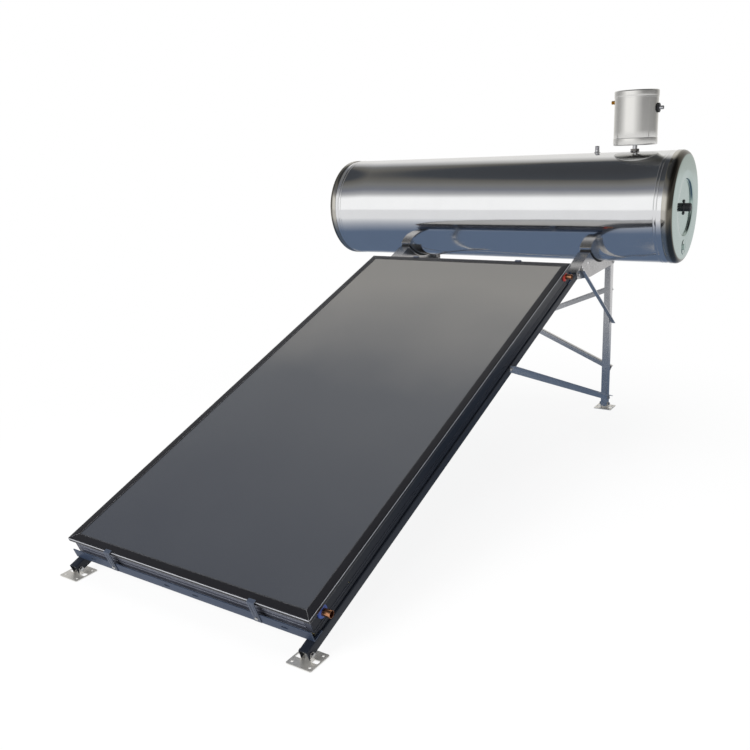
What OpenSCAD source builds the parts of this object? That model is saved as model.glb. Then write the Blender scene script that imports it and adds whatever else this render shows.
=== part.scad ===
// Thermosiphon solar water heater: a flat-plate collector on a sloping stand, with a
// horizontal insulated tank behind its upper edge and a small feed tank on top.
// X runs across the collector, Y from its low edge towards the tank, Z up.

/* [Collector] */
// Width of the collector
coll_w = 1000; // [960:10:1040]
// Length of the collector along its slope
coll_l = 2000; // [1960:10:2040]
// Depth of the collector box
coll_h = 80; // [74:1:90]
// Slope of the collector, degrees
tilt = 20; // [19:0.5:21]
// Height of the low edge of the collector's top face
lip_h = 128; // [126:1:132]
// Width of the cover strips round the glass
bezel_w = 28; // [24:1:32]
// Outer radius of the header pipes
header_r = 11; // [11:0.5:12]
// Number of riser tubes
riser_count = 8; // [6:1:9]

/* [Stand] */
// Distance of each rail from the middle
rail_x = 480; // [470:1:482]
// Width and depth of the rail channels
rail_w = 30; // [28:1:34]
// Side of the square foot plates
foot_w = 86; // [80:1:92]
// Distance of the rear legs behind the collector's low edge
leg_y = 2465; // [2460:1:2475]
// Depth of the leg channels
leg_d = 40; // [36:1:42]

/* [Tank] */
// Outer radius of the tank's casing
tank_r = 241; // [238:1:243]
// Overall length of the tank over its end caps
tank_l = 1745; // [1700:5:1900]
// Distance that the tank sits off the middle of the stand
tank_shift = -12; // [-30:2:30]
// Distance of the tank's axis behind the collector's low edge
tank_y = 2293; // [2288:1:2298]
// Height of the tank's axis
tank_z = 1012; // [1009:1:1015]
// Thickness of the foam between casing and inner tank
foam_t = 52; // [45:1:55]

/* [Feed tank] */
// Outer radius of the feed tank
feed_r = 92; // [90:1:102]
// Height of the feed tank's body
feed_h = 226; // [200:1:240]
// Place of the feed tank along the main tank
feed_x = 631; // [600:1:650]
// Gap between the main tank and the feed tank
feed_gap = 27; // [24:1:40]

/* [Hidden] */
$fn = 64;

// Colours
navy = [0.17, 0.20, 0.27];
black = [0.05, 0.05, 0.055];
zinc = [0.66, 0.65, 0.64];
steel = [0.78, 0.79, 0.80];
copper = [0.80, 0.45, 0.25];
brass = [0.78, 0.62, 0.32];

// Collector section, heights measured down from its top face
edge_in = 10;          // side wall's set-back under the cover strips
wall_t = 2;
seat_n = -8;           // underside of the ledge that carries the glass
ledge_t = 1.8;
gasket_t = 1;
glass_t = 3.2;
bezel_t = 2;
skirt_h = 14;
skirt_t = 2;
mitre_gap = 0.1;
lip_w = 14;            // inward lip that carries the back sheet
back_t = 1;
wool_t = 30;
header_n = -33;
header_s = 60;
header_wall = 0.9;
spigot_step = 0.2;     // a pipe's free end is this much thicker than the rest of it
riser_r = 5;
plate_t = 0.6;
stub_l = 34;           // header stub beyond the side wall
stub_in = 4.6;         // the stub's free end starts this far beyond the side wall
grommet_r = 20;
grommet_t = 4;
wall_hole_r = 15;
wall_x = coll_w / 2 - edge_in;
glass_x = coll_w / 2 - 14;
glass_s = 14;

// Stand section
seat_t = 3;            // cross rails lie between the collector and the rails
rail_n = -coll_h - seat_t;
rail_wall = 2;
rail_top_s = 2148;
bolt_r = 4;
hole_r = 4.2;
pivot_hole_r = 4.06;
pivot_z = 20;
pivot_up = 9;          // pivot above the bottom edge of a rail or leg
foot_t = 3;
ear_gap = 1;
ear_r = 8;
plate_t_steel = 2.5;
leg_top = 756;
pivot_n = rail_n - rail_w + pivot_up;
pivot_s = (pivot_z - lip_h - pivot_n * cos(tilt)) / sin(tilt);
rail_end = 13;         // rail beyond its pivot
cross_reach = 495;     // half the length of a cross rail
cross_lip_h = 37;
cross_foot_w = 40;
cross_out = 6;         // the lip's outer face beyond the collector's end
clip_x_low = 300;
clip_x_high = 260;
clip_w = 26;
clip_t = 2;
clip_hole_r = 3.05;
rivet_r = 3;
outer = rail_w / 2;    // a rail's or leg's outer face from its middle
ear_x = outer + ear_gap;
foot_hole = 30;
foot_hole_r = 4;

// Heights on the stand, as [distance behind the low edge, height]
function on_slope(s, n) = [s * cos(tilt) - n * sin(tilt), lip_h + s * sin(tilt) + n * cos(tilt)];
foot_front = on_slope(pivot_s, pivot_n);
foot_rear = [leg_y, pivot_z];
rail_mid = rail_n - rail_w / 2;
brace_front = on_slope(1334, rail_mid);
brace_rear = [leg_y, 52];
knee_front = on_slope(2122, rail_mid);
knee_rear = [leg_y, 455];
saddle_bolt = on_slope(2078, rail_mid);
leg_bolt = [leg_y, 742];
cross_z_high = 605;
cross_z_low = 200;

// Saddle outline
pad_t = 7.5;
arc_r = tank_r + 0.5 + pad_t + plate_t_steel;
arc_from = 229;
arc_to = 291;
saddle_w = 52;

// Tank
half_l = tank_l / 2;
skin_t = 1;
cap_over = 2;          // caps fit over the casing
cap_r = tank_r + cap_over;
cap_skirt = 42;
cap_round = 24;
cap_t = 1.5;
dish_r = 121;          // dish pressed into the middle of each cap
dish_d = 9;
lug_z = 26;            // heater cover's screws from its middle
port_hot = 95;         // collector loop's ports above the tank's axis
port_cold = -150;
port_r = 13;
vent_x = 462;
vent_out = 30;
inner_r = tank_r - foam_t - skin_t;
inner_wall = 1.5;
inner_l = tank_l - 2 * foam_t - 6;
nipple_out = 30;
heater_out = 24;        // heater cover beyond the cap's face
heater_r = 18.5;
heater_h = heater_out + dish_d - 0.1;
anode_drop = 165;
feed_z = tank_z + tank_r + feed_gap;
lid_h = 31;
rim_h = 31;            // band round the feed tank's foot
lid_gap = 0.4;
feed_wall = 1;
stub_r = 10;

// Float valve in the feed tank
valve_z = feed_z + 184;
valve_x = feed_x - feed_r;
overflow_z = feed_z + 152;
inlet_r = 8;
float_px = valve_x + 32;
float_pz = valve_z - 14;
float_len = 84;
ball_r = 26;
lever_in = 16;
float_drop = 30;       // the arm hangs by this much in an empty tank
plunger_rate = 10;     // plunger travel per radian of arm swing
plunger_out = plunger_rate * float_drop * PI / 180;

// Box of the whole part, which sets the origin
x_low = tank_shift - tank_l / 2 - nipple_out;
x_high = tank_shift + tank_l / 2 + heater_out;
y_low = foot_front[0] - foot_w / 2;
y_high = tank_y + cap_r;
x_mid = (x_low + x_high) / 2;
y_mid = (y_low + y_high) / 2;

module site() translate([-x_mid, -y_mid, 0]) children();
module slope() site() translate([0, 0, lip_h]) rotate([tilt, 0, 0]) children();
// Child drawn in the Y-Z plane, extruded along +X from x
module yz(x, t) translate([x, 0, 0]) rotate([90, 0, 90]) linear_extrude(t) children();
module x_rod(x, p, r, len) translate([x, p[0], p[1]]) rotate([0, 90, 0]) cylinder(h = len, r = r);
module y_rod(x, y, z, r, len) translate([x, y, z]) rotate([-90, 0, 0]) cylinder(h = len, r = r);
module along_x(x) translate([x, tank_y, tank_z]) rotate([0, 90, 0]) children();

// ---------------------------------------------------------------- collector

// Wall section with ribs at the given heights: x outwards, y up, outer face at 0
module wall_section(ribs) {
    translate([-wall_t, -coll_h]) square([wall_t, coll_h + seat_n + 0.5]);
    translate([-lip_w, -coll_h]) square([lip_w, wall_t]);
    translate([-24, seat_n]) square([24 + edge_in - 2.2, ledge_t]);
    for (h = ribs) translate([-0.5, h]) square([2, 2.4]);
}

module side_wall(side) {
    port = [header_s, coll_l - header_s];
    slope() difference() {
        mirror([side < 0 ? 1 : 0, 0, 0]) translate([wall_x, coll_l - edge_in, 0])
            rotate([90, 0, 0]) linear_extrude(coll_l - 2 * edge_in) wall_section([-60]);
        for (s = port) x_rod(side * wall_x - 10, [s, header_n], wall_hole_r, 20);
        x_rod(side * wall_x - 10, [coll_l - 190, -58], 3, 20);
        x_rod(side * wall_x - 10, [190, -58], 3, 20);
    }
}
module frame_side_left() color(navy) side_wall(-1);
module frame_side_right() color(navy) side_wall(1);

module end_wall_between(at_top) {
    reach = coll_w / 2 - edge_in - 24.2;
    slope() translate([0, at_top ? coll_l - edge_in : edge_in, 0])
        mirror([0, at_top ? 1 : 0, 0]) {
            translate([-reach, 0, 0]) rotate([90, 0, 90]) linear_extrude(2 * reach)
                mirror([1, 0]) wall_section([-26, -50]);
            for (side = [-1, 1]) translate([side > 0 ? reach : -wall_x + wall_t + 0.1, 0, seat_n - coll_h])
                translate([0, 0.4, coll_h - 60]) cube([wall_x - wall_t - 0.1 - reach, wall_t - 0.4, 59]);
        }
}
module frame_end_lower() color(navy) end_wall_between(false);
module frame_end_upper() color(navy) end_wall_between(true);

// Cover strip with its skirt, mitred at both ends; runs along +Y from 0
module cover_strip(len) {
    difference() {
        union() {
            translate([-bezel_w, 0, -bezel_t]) cube([bezel_w, len, bezel_t]);
            translate([-skirt_t, 0, -skirt_h]) cube([skirt_t, len, skirt_h]);
        }
        for (end = [0, 1]) translate([0, end * len, -skirt_h - 1]) mirror([0, end, 0])
            linear_extrude(skirt_h + 2) polygon([[1, -1 + mitre_gap], [-40, 40 + mitre_gap], [-60, -1 + mitre_gap]]);
    }
}
module bezel_right() color(black) slope() translate([coll_w / 2, 0, 0]) cover_strip(coll_l);
module bezel_left() color(black) slope() mirror([1, 0, 0]) translate([coll_w / 2, 0, 0]) cover_strip(coll_l);
module bezel_lower() color(black) slope() translate([-coll_w / 2, 0, 0]) rotate([0, 0, -90])
    cover_strip(coll_w);
module bezel_upper() color(black) slope() translate([-coll_w / 2, coll_l, 0]) mirror([0, 1, 0])
    rotate([0, 0, -90]) cover_strip(coll_w);

module glass_cover() color([0.22, 0.23, 0.25]) slope()
    translate([-glass_x, glass_s, -bezel_t - glass_t]) cube([2 * glass_x, coll_l - 2 * glass_s, glass_t]);

module glass_gasket() color(black) slope() translate([0, 0, seat_n + ledge_t])
    linear_extrude(gasket_t) difference() {
        translate([-glass_x, glass_s]) square([2 * glass_x, coll_l - 2 * glass_s]);
        translate([-glass_x + 20, glass_s + 20]) square([2 * glass_x - 40, coll_l - 2 * glass_s - 40]);
    }

module absorber_plate() color([0.08, 0.09, 0.12]) slope()
    translate([-wall_x + 26, header_s + 16, header_n + riser_r])
    cube([2 * wall_x - 52, coll_l - 2 * header_s - 32, plate_t]);

module header(s) slope() difference() {
    union() {
        x_rod(-wall_x - stub_in, [s, header_n], header_r - spigot_step, 2 * (wall_x + stub_in));
        for (x = [-wall_x - stub_l, wall_x + stub_in])
            x_rod(x, [s, header_n], header_r, stub_l - stub_in);
    }
    x_rod(-wall_x - stub_l - 1, [s, header_n], header_r - header_wall, 2 * (wall_x + stub_l) + 2);
}
module header_lower() color(copper) header(header_s);
module header_upper() color(copper) header(coll_l - header_s);

module riser_tubes() {
    pitch = (2 * wall_x - 100) / (riser_count - 1);
    color(copper) slope() difference() {
        for (i = [0:riser_count - 1])
            y_rod(-wall_x + 50 + i * pitch, header_s, header_n, riser_r, coll_l - 2 * header_s);
        for (s = [header_s, coll_l - header_s])
            x_rod(-wall_x, [s, header_n], header_r - spigot_step + 0.02, 2 * wall_x);
    }
}

module collector_insulation() color([0.75, 0.70, 0.45]) slope()
    translate([-wall_x + 3, edge_in + 3, -coll_h + wall_t + back_t])
    cube([2 * wall_x - 6, coll_l - 2 * edge_in - 6, wool_t]);

module back_sheet() color(zinc) slope() translate([-wall_x + 3, edge_in + 3, -coll_h + wall_t])
    cube([2 * wall_x - 6, coll_l - 2 * edge_in - 6, back_t]);

module grommet_pair(s) slope() for (side = [-1, 1]) mirror([side < 0 ? 1 : 0, 0, 0])
    translate([wall_x, s, header_n]) rotate([0, 90, 0]) difference() {
        union() {
            translate([0, 0, 1.6]) cylinder(h = grommet_t - 1.6, r1 = grommet_r, r2 = grommet_r - 3);
            translate([0, 0, 0.1]) cylinder(h = 1.5, r = grommet_r);
            translate([0, 0, -wall_t]) cylinder(h = wall_t + 1, r = wall_hole_r - 0.1);
        }
        translate([0, 0, -5]) cylinder(h = 20, r = header_r - spigot_step + 0.05);
    }
module blue_grommets() color([0.20, 0.28, 0.62]) grommet_pair(header_s);
module red_grommets() color([0.72, 0.20, 0.16]) grommet_pair(coll_l - header_s);

// -------------------------------------------------------------------- stand

module rail_section() difference() {
    square([rail_w, rail_w]);
    translate([rail_wall, -1]) square([rail_w - 2 * rail_wall, rail_w - rail_wall + 1]);
}
module rail(side) {
    start = pivot_s - rail_end;
    difference() {
        slope() translate([side * rail_x - outer, rail_top_s, rail_n - rail_w])
            rotate([90, 0, 0]) linear_extrude(rail_top_s - start) rail_section();
        site() {
            x_rod(side * rail_x - 20, foot_front, bolt_r + 0.01, 40);
            x = side > 0 ? rail_x : -rail_x - outer - 1;
            for (p = [brace_front, knee_front, saddle_bolt]) x_rod(x, p, hole_r, outer + 1);
        }
        slope() rivets(side, rivet_r + 0.05);
    }
}
module rail_left() color(navy) rail(-1);
module rail_right() color(navy) rail(1);

// Countersunk rivets that hold the cross rails to the rails
module rivets(side, r) for (s = [14, coll_l - 14], dx = [-7, 7])
    translate([side * rail_x + dx, s, rail_n - rail_wall]) cylinder(h = rail_wall + seat_t, r = r);
module rail_rivets() color(steel) slope() for (side = [-1, 1]) rivets(side, rivet_r);

// Angle whose lip stands outside the collector's end wall; drawn for the low end
module cross_rail(clip_x) difference() {
    union() {
        translate([-cross_reach, -cross_out, rail_n]) cube([2 * cross_reach, cross_foot_w, seat_t]);
        translate([-cross_reach, -cross_out, rail_n]) cube([2 * cross_reach, seat_t, cross_lip_h]);
    }
    for (side = [-1, 1]) {
        rivets(side, rivet_r + 0.05);
        y_rod(side * clip_x, -10, rail_n + 20, clip_hole_r, 20);
        for (x = [60, 400]) hull() for (dx = [-9, 9])
            y_rod(side * x + dx, -10, rail_n + 20, 3.5, 10);
    }
}
module cross_rail_lower() color(navy) slope() cross_rail(clip_x_low);
module cross_rail_upper() color(navy) slope() translate([0, coll_l, 0]) mirror([0, 1, 0])
    cross_rail(clip_x_high);

// Hook from the cross rail's lip up over the cover strip
module hook_clip(x) difference() {
    translate([x - clip_w / 2, -cross_out - clip_t - 0.2, 0]) union() {
        translate([0, 0, rail_n + 6]) cube([clip_w, clip_t, -rail_n - 6 + clip_t + 0.2]);
        translate([0, 0, 0.2]) cube([clip_w, 14, clip_t]);
    }
    y_rod(x, -12, rail_n + 20, clip_hole_r, 20);
}
module hook_clips_lower() color(black) slope() for (s = [-1, 1]) hook_clip(s * clip_x_low);
module hook_clips_upper() color(black) slope() translate([0, coll_l, 0]) mirror([0, 1, 0])
    for (s = [-1, 1]) hook_clip(s * clip_x_high);

module clip_screw(x) {
    y_rod(x, -8.3, rail_n + 20, 3, 6.2);
    y_rod(x, -11.8, rail_n + 20, 6, 3.5);
}
module clip_screws() color(steel) slope() {
    for (s = [-1, 1]) clip_screw(s * clip_x_low);
    translate([0, coll_l, 0]) mirror([0, 1, 0]) for (s = [-1, 1]) clip_screw(s * clip_x_high);
}

// Channel open towards the middle of the stand
module leg(side) site() difference() {
    translate([side * rail_x - outer, leg_y - leg_d / 2, pivot_z - pivot_up])
        cube([rail_w, leg_d, leg_top - pivot_z + pivot_up]);
    translate([side * rail_x - outer - (side > 0 ? 1 : -rail_wall), leg_y - leg_d / 2 + rail_wall, 0])
        cube([rail_w - rail_wall + 1, leg_d - 2 * rail_wall, leg_top + 10]);
    x_rod(side * rail_x - 20, foot_rear, bolt_r + 0.01, 40);
    for (p = [brace_rear, knee_rear, leg_bolt]) x_rod(side * rail_x - 20, p, hole_r, 40);
    for (z = [cross_z_low, cross_z_high]) y_rod(side * rail_x, leg_y, z, hole_r, leg_d);
}
module leg_left() color(zinc) leg(-1);
module leg_right() color(zinc) leg(1);

// Angle strut between two bolt centres, flat against the plane x = 0, flange outwards
module strut(p, q, w = 26, flange = 20, t = 2, up = 1) {
    len = norm(q - p);
    translate([0, p[0], p[1]]) rotate([atan2(q[1] - p[1], q[0] - p[0]), 0, 0]) difference() {
        union() {
            translate([0, -14, -w / 2]) cube([t, len + 28, w]);
            translate([0, -14, up > 0 ? w / 2 - t : -w / 2]) cube([flange, len + 28, t]);
        }
        for (s = [0, len]) x_rod(-1, [s, 0], hole_r, t + 2);
    }
}
module side_brace(side) site() mirror([side < 0 ? 1 : 0, 0, 0])
    translate([rail_x + outer + 0.1, 0, 0]) strut(brace_front, brace_rear);
module side_brace_left() color(zinc) side_brace(-1);
module side_brace_right() color(zinc) side_brace(1);

module knee_brace(side) site() mirror([side < 0 ? 1 : 0, 0, 0])
    translate([rail_x + outer + plate_t_steel + 0.2, 0, 0]) strut(knee_front, knee_rear, up = -1);
module knee_brace_left() color(zinc) knee_brace(-1);
module knee_brace_right() color(zinc) knee_brace(1);

// Strut across the back: the same angle, turned to lie on the legs' rear faces
module rear_strut(z_left, z_right, off) site() translate([0, leg_y + leg_d / 2 + off, 0])
    rotate([0, 0, 90]) strut([-rail_x, z_right], [rail_x, z_left], flange = 18);
module rear_brace_a() color(zinc) rear_strut(cross_z_low, cross_z_high, 0.1);
module rear_brace_b() color(zinc) rear_strut(cross_z_high, cross_z_low, 20.4);

function arc_point(a, r) = [tank_y + r * cos(a), tank_z + r * sin(a)];
saddle_foot = on_slope(2060, rail_n + 1.4);
saddle_nose = arc_point(arc_from - 1.5, arc_r + 3);
saddle_tail = [leg_y + 13, 730];
saddle_low = [2142, 714];
saddle_slot = [2112, 782];
module saddle_web() polygon(concat(
    [on_slope(2058, rail_n - rail_w + 2), saddle_foot, saddle_nose],
    [for (i = [0:24]) arc_point(arc_from + 1 + (arc_to - arc_from - 2) * i / 24, arc_r - 1.2)],
    [[leg_y + 13, leg_top + 2], saddle_tail, saddle_low]));
module saddle_arc(r1, r2, x, w, from = arc_from, to = arc_to)
    translate([x, tank_y, tank_z]) rotate([0, 90, 0]) rotate([0, 0, from + 90])
        rotate_extrude(angle = to - from, $fn = 96) translate([r1, 0]) square([r2 - r1, w]);
// Point of the line p-q that lies y behind the low edge
function between(p, q, y) = [y, p[1] + (q[1] - p[1]) * (y - p[0]) / (q[0] - p[0])];
// Flat flange along a line in the Y-Z plane
module flange_strip(p, q, x, w, t) translate([x, p[0], p[1]])
    rotate([atan2(q[1] - p[1], q[0] - p[0]), 0, 0]) cube([w, norm(q - p), t]);
module saddle(side) site() mirror([side < 0 ? 1 : 0, 0, 0]) {
    web_x = rail_x + outer + 0.1;
    in_x = web_x + plate_t_steel - saddle_w;
    difference() {
        union() {
            yz(web_x, plate_t_steel) saddle_web();
            saddle_arc(arc_r - plate_t_steel, arc_r, in_x, saddle_w - 0.4);
            translate([0, 0, -0.6]) flange_strip(saddle_foot, saddle_nose, in_x, saddle_w - 0.4, plate_t_steel);
            translate([0, 0, 0.4]) flange_strip(saddle_low, between(saddle_low, saddle_tail, leg_y - leg_d / 2 - 1),
                in_x, saddle_w - 0.4, plate_t_steel);
        }
        for (p = [knee_front, saddle_bolt, leg_bolt]) x_rod(web_x - 1, p, hole_r, 6);
        hull() for (dy = [-6, 6]) x_rod(web_x - 1, saddle_slot + [dy, dy * 0.3], 4.5, 6);
    }
}
module saddle_left() color(zinc) saddle(-1);
module saddle_right() color(zinc) saddle(1);
module saddle_pads() color(black) site() for (side = [-1, 1]) mirror([side < 0 ? 1 : 0, 0, 0])
    saddle_arc(tank_r + 0.3, tank_r + 0.3 + pad_t, rail_x + outer - 46, 46);

module hex(x, p, flats, h) translate([x, p[0], p[1]]) rotate([0, 90, 0])
    cylinder(h = h, r = flats / 2 / cos(30), $fn = 6);
// Bolt along X: shank from x, head outside, nut inside
module x_bolt(x, p, grip) {
    x_rod(x - 7, p, bolt_r, grip + 7);
    hex(x + grip, p, 13, 5.3);
    hex(x - 7, p, 13, 6.8);
}
module y_bolt(x, y, z, grip) {
    y_rod(x, y - 7, z, bolt_r, grip + 7);
    translate([x, y + grip, z]) rotate([-90, 0, 0]) cylinder(h = 5.3, r = 6.5 / cos(30), $fn = 6);
    translate([x, y - 7, z]) rotate([-90, 0, 0]) cylinder(h = 6.8, r = 6.5 / cos(30), $fn = 6);
}
module frame_bolts() color(steel) site() for (side = [-1, 1]) mirror([side < 0 ? 1 : 0, 0, 0]) {
    inside = rail_x + outer - rail_wall - 0.1;
    x_bolt(inside, brace_front, rail_wall + 2.4);
    x_bolt(inside, brace_rear, rail_wall + 2.4);
    x_bolt(inside, knee_front, rail_wall + plate_t_steel + 2.6);
    x_bolt(inside, knee_rear, rail_wall + plate_t_steel + 2.6);
    x_bolt(inside, saddle_bolt, rail_wall + plate_t_steel + 0.4);
    x_bolt(inside, leg_bolt, rail_wall + plate_t_steel + 0.4);
    rear = leg_y + leg_d / 2 - rail_wall - 0.1;
    y_bolt(rail_x, rear, side > 0 ? cross_z_high : cross_z_low, rail_wall + 2.4);
    y_bolt(rail_x, rear, side > 0 ? cross_z_low : cross_z_high, rail_wall + 22.8);
}

module pivot_bolt(side, p) {
    reach = ear_x + plate_t_steel + 0.4;
    x_rod(side * rail_x - reach, p, bolt_r, 2 * reach);
    hex(side * rail_x + reach, p, 13, 5.3);
    hex(side * rail_x - reach - 6.8, p, 13, 6.8);
}
module pivot_bolts() color(steel) site() for (side = [-1, 1], p = [foot_front, foot_rear])
    pivot_bolt(side, p);

// Square plate with two ears bent up out of it
module foot(side, p) site() translate([side * rail_x, p[0], 0]) difference() {
    union() {
        translate([-foot_w / 2, -foot_w / 2, 0]) cube([foot_w, foot_w, foot_t]);
        for (e = [-1, 1]) translate([e > 0 ? ear_x : -ear_x - plate_t_steel, 0, 0]) {
            translate([0, -ear_r, 0]) cube([plate_t_steel, 2 * ear_r, pivot_z]);
            x_rod(0, [0, pivot_z], ear_r, plate_t_steel);
        }
    }
    for (e = [-1, 1]) translate([e > 0 ? ear_x + plate_t_steel : -ear_x - plate_t_steel - 20, -ear_r, -1])
        cube([20, 2 * ear_r, foot_t + 2]);
    for (u = [-1, 1], v = [-1, 1]) translate([u * foot_hole, v * foot_hole, -1])
        cylinder(h = foot_t + 2, r = foot_hole_r);
    x_rod(-50, [0, pivot_z], pivot_hole_r, 100);
}
module foot_front_left() color(zinc) foot(-1, foot_front);
module foot_front_right() color(zinc) foot(1, foot_front);
module foot_rear_left() color(zinc) foot(-1, foot_rear);
module foot_rear_right() color(zinc) foot(1, foot_rear);

// --------------------------------------------------------------------- tank

module tank_shell() color(steel) site() difference() {
    along_x(tank_shift - half_l + cap_round + 0.2) difference() {
        cylinder(h = tank_l - 2 * cap_round - 0.4, r = tank_r);
        translate([0, 0, -1]) cylinder(h = tank_l, r = tank_r - skin_t);
    }
    for (x = [feed_x, vent_x]) translate([x, tank_y, tank_z + tank_r - 30]) cylinder(h = 60, r = stub_r + 0.5);
}

// End cap, turned about the tank axis, with its outer face at height 0
module cap_solid() rotate_extrude($fn = 96) difference() {
    union() {
        translate([0, -cap_skirt]) square([cap_r, cap_skirt - cap_round]);
        translate([0, -cap_round - 1]) square([cap_r - cap_round, cap_round + 1]);
        intersection() {
            translate([cap_r - cap_round, -cap_round]) circle(r = cap_round, $fn = 64);
            translate([cap_r - cap_round, -cap_round]) square([cap_round + 1, cap_round + 1]);
        }
    }
    translate([-1, -cap_skirt - 1]) square([tank_r + 0.1 + 1, cap_skirt - cap_round + 1]);
    translate([-1, -cap_round - 0.1]) square([dish_r + cap_t + 1, cap_round - dish_d - cap_t + 0.1]);
    translate([dish_r + cap_t, -cap_round - 0.1]) square([cap_r - cap_round - dish_r - cap_t, cap_round - cap_t + 0.1]);
    intersection() {
        translate([cap_r - cap_round, -cap_round]) circle(r = cap_round - cap_t, $fn = 64);
        translate([cap_r - cap_round - 1, -cap_round - 0.1]) square([cap_round, cap_round + 1]);
    }
    translate([cap_r - cap_round - 1, -cap_round - 0.2]) square([cap_round - cap_t - 0.5, 0.4]);
    translate([-1, -dish_d]) square([dish_r + 1, dish_d + 1]);
}
module tank_cap(side) site() difference() {
    translate([tank_shift + side * half_l, tank_y, tank_z]) rotate([0, side * 90, 0]) cap_solid();
    if (side > 0) {
        x_rod(tank_shift + half_l - 20, [tank_y, tank_z], heater_r - 3, 20);
        for (dz = [-lug_z, lug_z]) x_rod(tank_shift + half_l - 20, [tank_y, tank_z + dz], 2.1, 20);
    }
    if (side < 0) for (dz = [port_hot, port_cold])
        x_rod(tank_shift - half_l - 10, [tank_y, tank_z + dz], port_r + 0.5, 30);
}
module tank_cap_left() color(steel) tank_cap(-1);
module tank_cap_right() color([0.62, 0.66, 0.64]) tank_cap(1);

// Closed drum with rounded ends
module drum(r, len, round_r) rotate_extrude($fn = 96) intersection() {
    union() {
        translate([0, round_r]) square([r, len - 2 * round_r]);
        square([r - round_r, len]);
        for (y = [round_r, len - round_r]) translate([r - round_r, y]) circle(r = round_r);
    }
    square([r + 1, len]);
}
inner_x = tank_shift - inner_l / 2;
module inner_tank() color(steel) site() difference() {
    along_x(inner_x) drum(inner_r, inner_l, 40);
    along_x(inner_x + inner_wall) drum(inner_r - inner_wall, inner_l - 2 * inner_wall, 40 - inner_wall);
    for (x = [feed_x, vent_x]) translate([x, tank_y, tank_z + inner_r - 30]) cylinder(h = 60, r = stub_r + 0.05);
    for (dz = [port_hot, port_cold]) x_rod(inner_x - 10, [tank_y, tank_z + dz], port_r + 0.05, 30);
    x_rod(inner_x + inner_l - 10, [tank_y, tank_z], 15.05, 20);
    x_rod(inner_x + inner_l - 60, [tank_y, tank_z - anode_drop + 30], 10.55, 80);
}

module tank_foam() color([0.85, 0.78, 0.55]) site() difference() {
    along_x(tank_shift - half_l + dish_d + cap_t + 0.2)
        drum(tank_r - skin_t - 0.1, tank_l - 2 * (dish_d + cap_t + 0.2), cap_round);
    for (dz = [-lug_z, lug_z]) x_rod(tank_shift + half_l - 30, [tank_y, tank_z + dz], 2.1, 30);
    along_x(inner_x - 0.1) drum(inner_r + 0.1, inner_l + 0.2, 40);
    for (x = [feed_x, vent_x]) translate([x, tank_y, tank_z]) cylinder(h = tank_r + 10, r = stub_r + 0.5);
    for (dz = [port_hot, port_cold]) x_rod(tank_shift - half_l, [tank_y, tank_z + dz], port_r + 0.5, 80);
    x_rod(tank_shift + half_l - 80, [tank_y, tank_z], 15.5, 80);
    x_rod(tank_shift + half_l - 80, [tank_y, tank_z - anode_drop + 30], 15.5, 80);
}

// Pipe stubs: two for the collector loop at the left end, the vent and the feed pipe on top
module pipe(h, r, wall) difference() {
    cylinder(h = h, r = r);
    translate([0, 0, -1]) cylinder(h = h + 2, r = r - wall);
}
// The same with its last part, from the height free, thicker by the spigot step
module spigot_pipe(h, r, wall, free) {
    pipe(h, r - spigot_step, wall);
    translate([0, 0, free]) pipe(h - free, r, wall);
}
module tank_nipples() color(brass) site() {
    for (dz = [port_hot, port_cold])
        translate([tank_shift - half_l + foam_t + 6, tank_y, tank_z + dz]) rotate([0, -90, 0])
            spigot_pipe(nipple_out + foam_t + 6, port_r, 2, foam_t + 6.6);
    translate([vent_x, tank_y, tank_z + inner_r - 4])
        spigot_pipe(tank_r - inner_r + 4 + vent_out, stub_r, 2, tank_r - inner_r + 5);
    translate([feed_x, tank_y, tank_z + inner_r - 4]) pipe(foam_t + feed_gap + 9, stub_r, 2);
    translate([feed_x, tank_y, tank_z + tank_r + 1]) difference() {
        cylinder(h = 12, r = 19, $fn = 6);
        translate([0, 0, -1]) cylinder(h = 16, r = stub_r - 1);
    }
    translate([feed_x, tank_y, feed_z - 9]) difference() {
        cylinder(h = 8.9, r = 17, $fn = 6);
        translate([0, 0, -1]) cylinder(h = 16, r = stub_r - 1);
    }
}

module heater_cover() color(black) site()
    translate([tank_shift + half_l - dish_d + 0.1, tank_y, tank_z]) rotate([0, 90, 0]) difference() {
        union() {
            cylinder(h = heater_h - 4, r = heater_r);
            translate([0, 0, heater_h - 4]) cylinder(h = 4, r1 = heater_r, r2 = heater_r - 4);
            cylinder(h = 4, r = heater_r + 1.5);
            for (dz = [-lug_z, lug_z]) translate([-dz, 0, 0]) cylinder(h = 4, r = 7);
        }
        translate([0, 0, -1]) cylinder(h = heater_h - 3, r = heater_r - 3);
        for (dz = [-lug_z, lug_z]) translate([-dz, 0, -1]) cylinder(h = 8, r = 2.1);
    }
module cap_screws() color(steel) site() for (dz = [-lug_z, lug_z])
    translate([tank_shift + half_l - dish_d, tank_y, tank_z + dz]) rotate([0, 90, 0]) {
        translate([0, 0, -8]) cylinder(h = 12.2, r = 2);
        translate([0, 0, 4.2]) cylinder(h = 2.6, r = 4);
    }

module heating_element() color(copper) site() {
    translate([inner_x + inner_l - 420, tank_y, tank_z]) {
        for (dy = [-7, 7]) translate([0, dy, 0]) rotate([0, 90, 0]) cylinder(h = 415, r = 3.5);
        rotate([0, 0, 90]) rotate_extrude(angle = 180) translate([7, 0]) circle(r = 3.5);
    }
    translate([inner_x + inner_l - 6, tank_y, tank_z]) rotate([0, 90, 0]) cylinder(h = foam_t - 3, r = 15);
}
module anode_rod() color(steel) site() {
    z = tank_z - anode_drop + 30;
    x_rod(inner_x + inner_l - 340, [tank_y, z], 10.5, 345);
    x_rod(inner_x + inner_l + 4, [tank_y, z], 15, foam_t - 15);
}

// ---------------------------------------------------------------- feed tank

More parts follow.
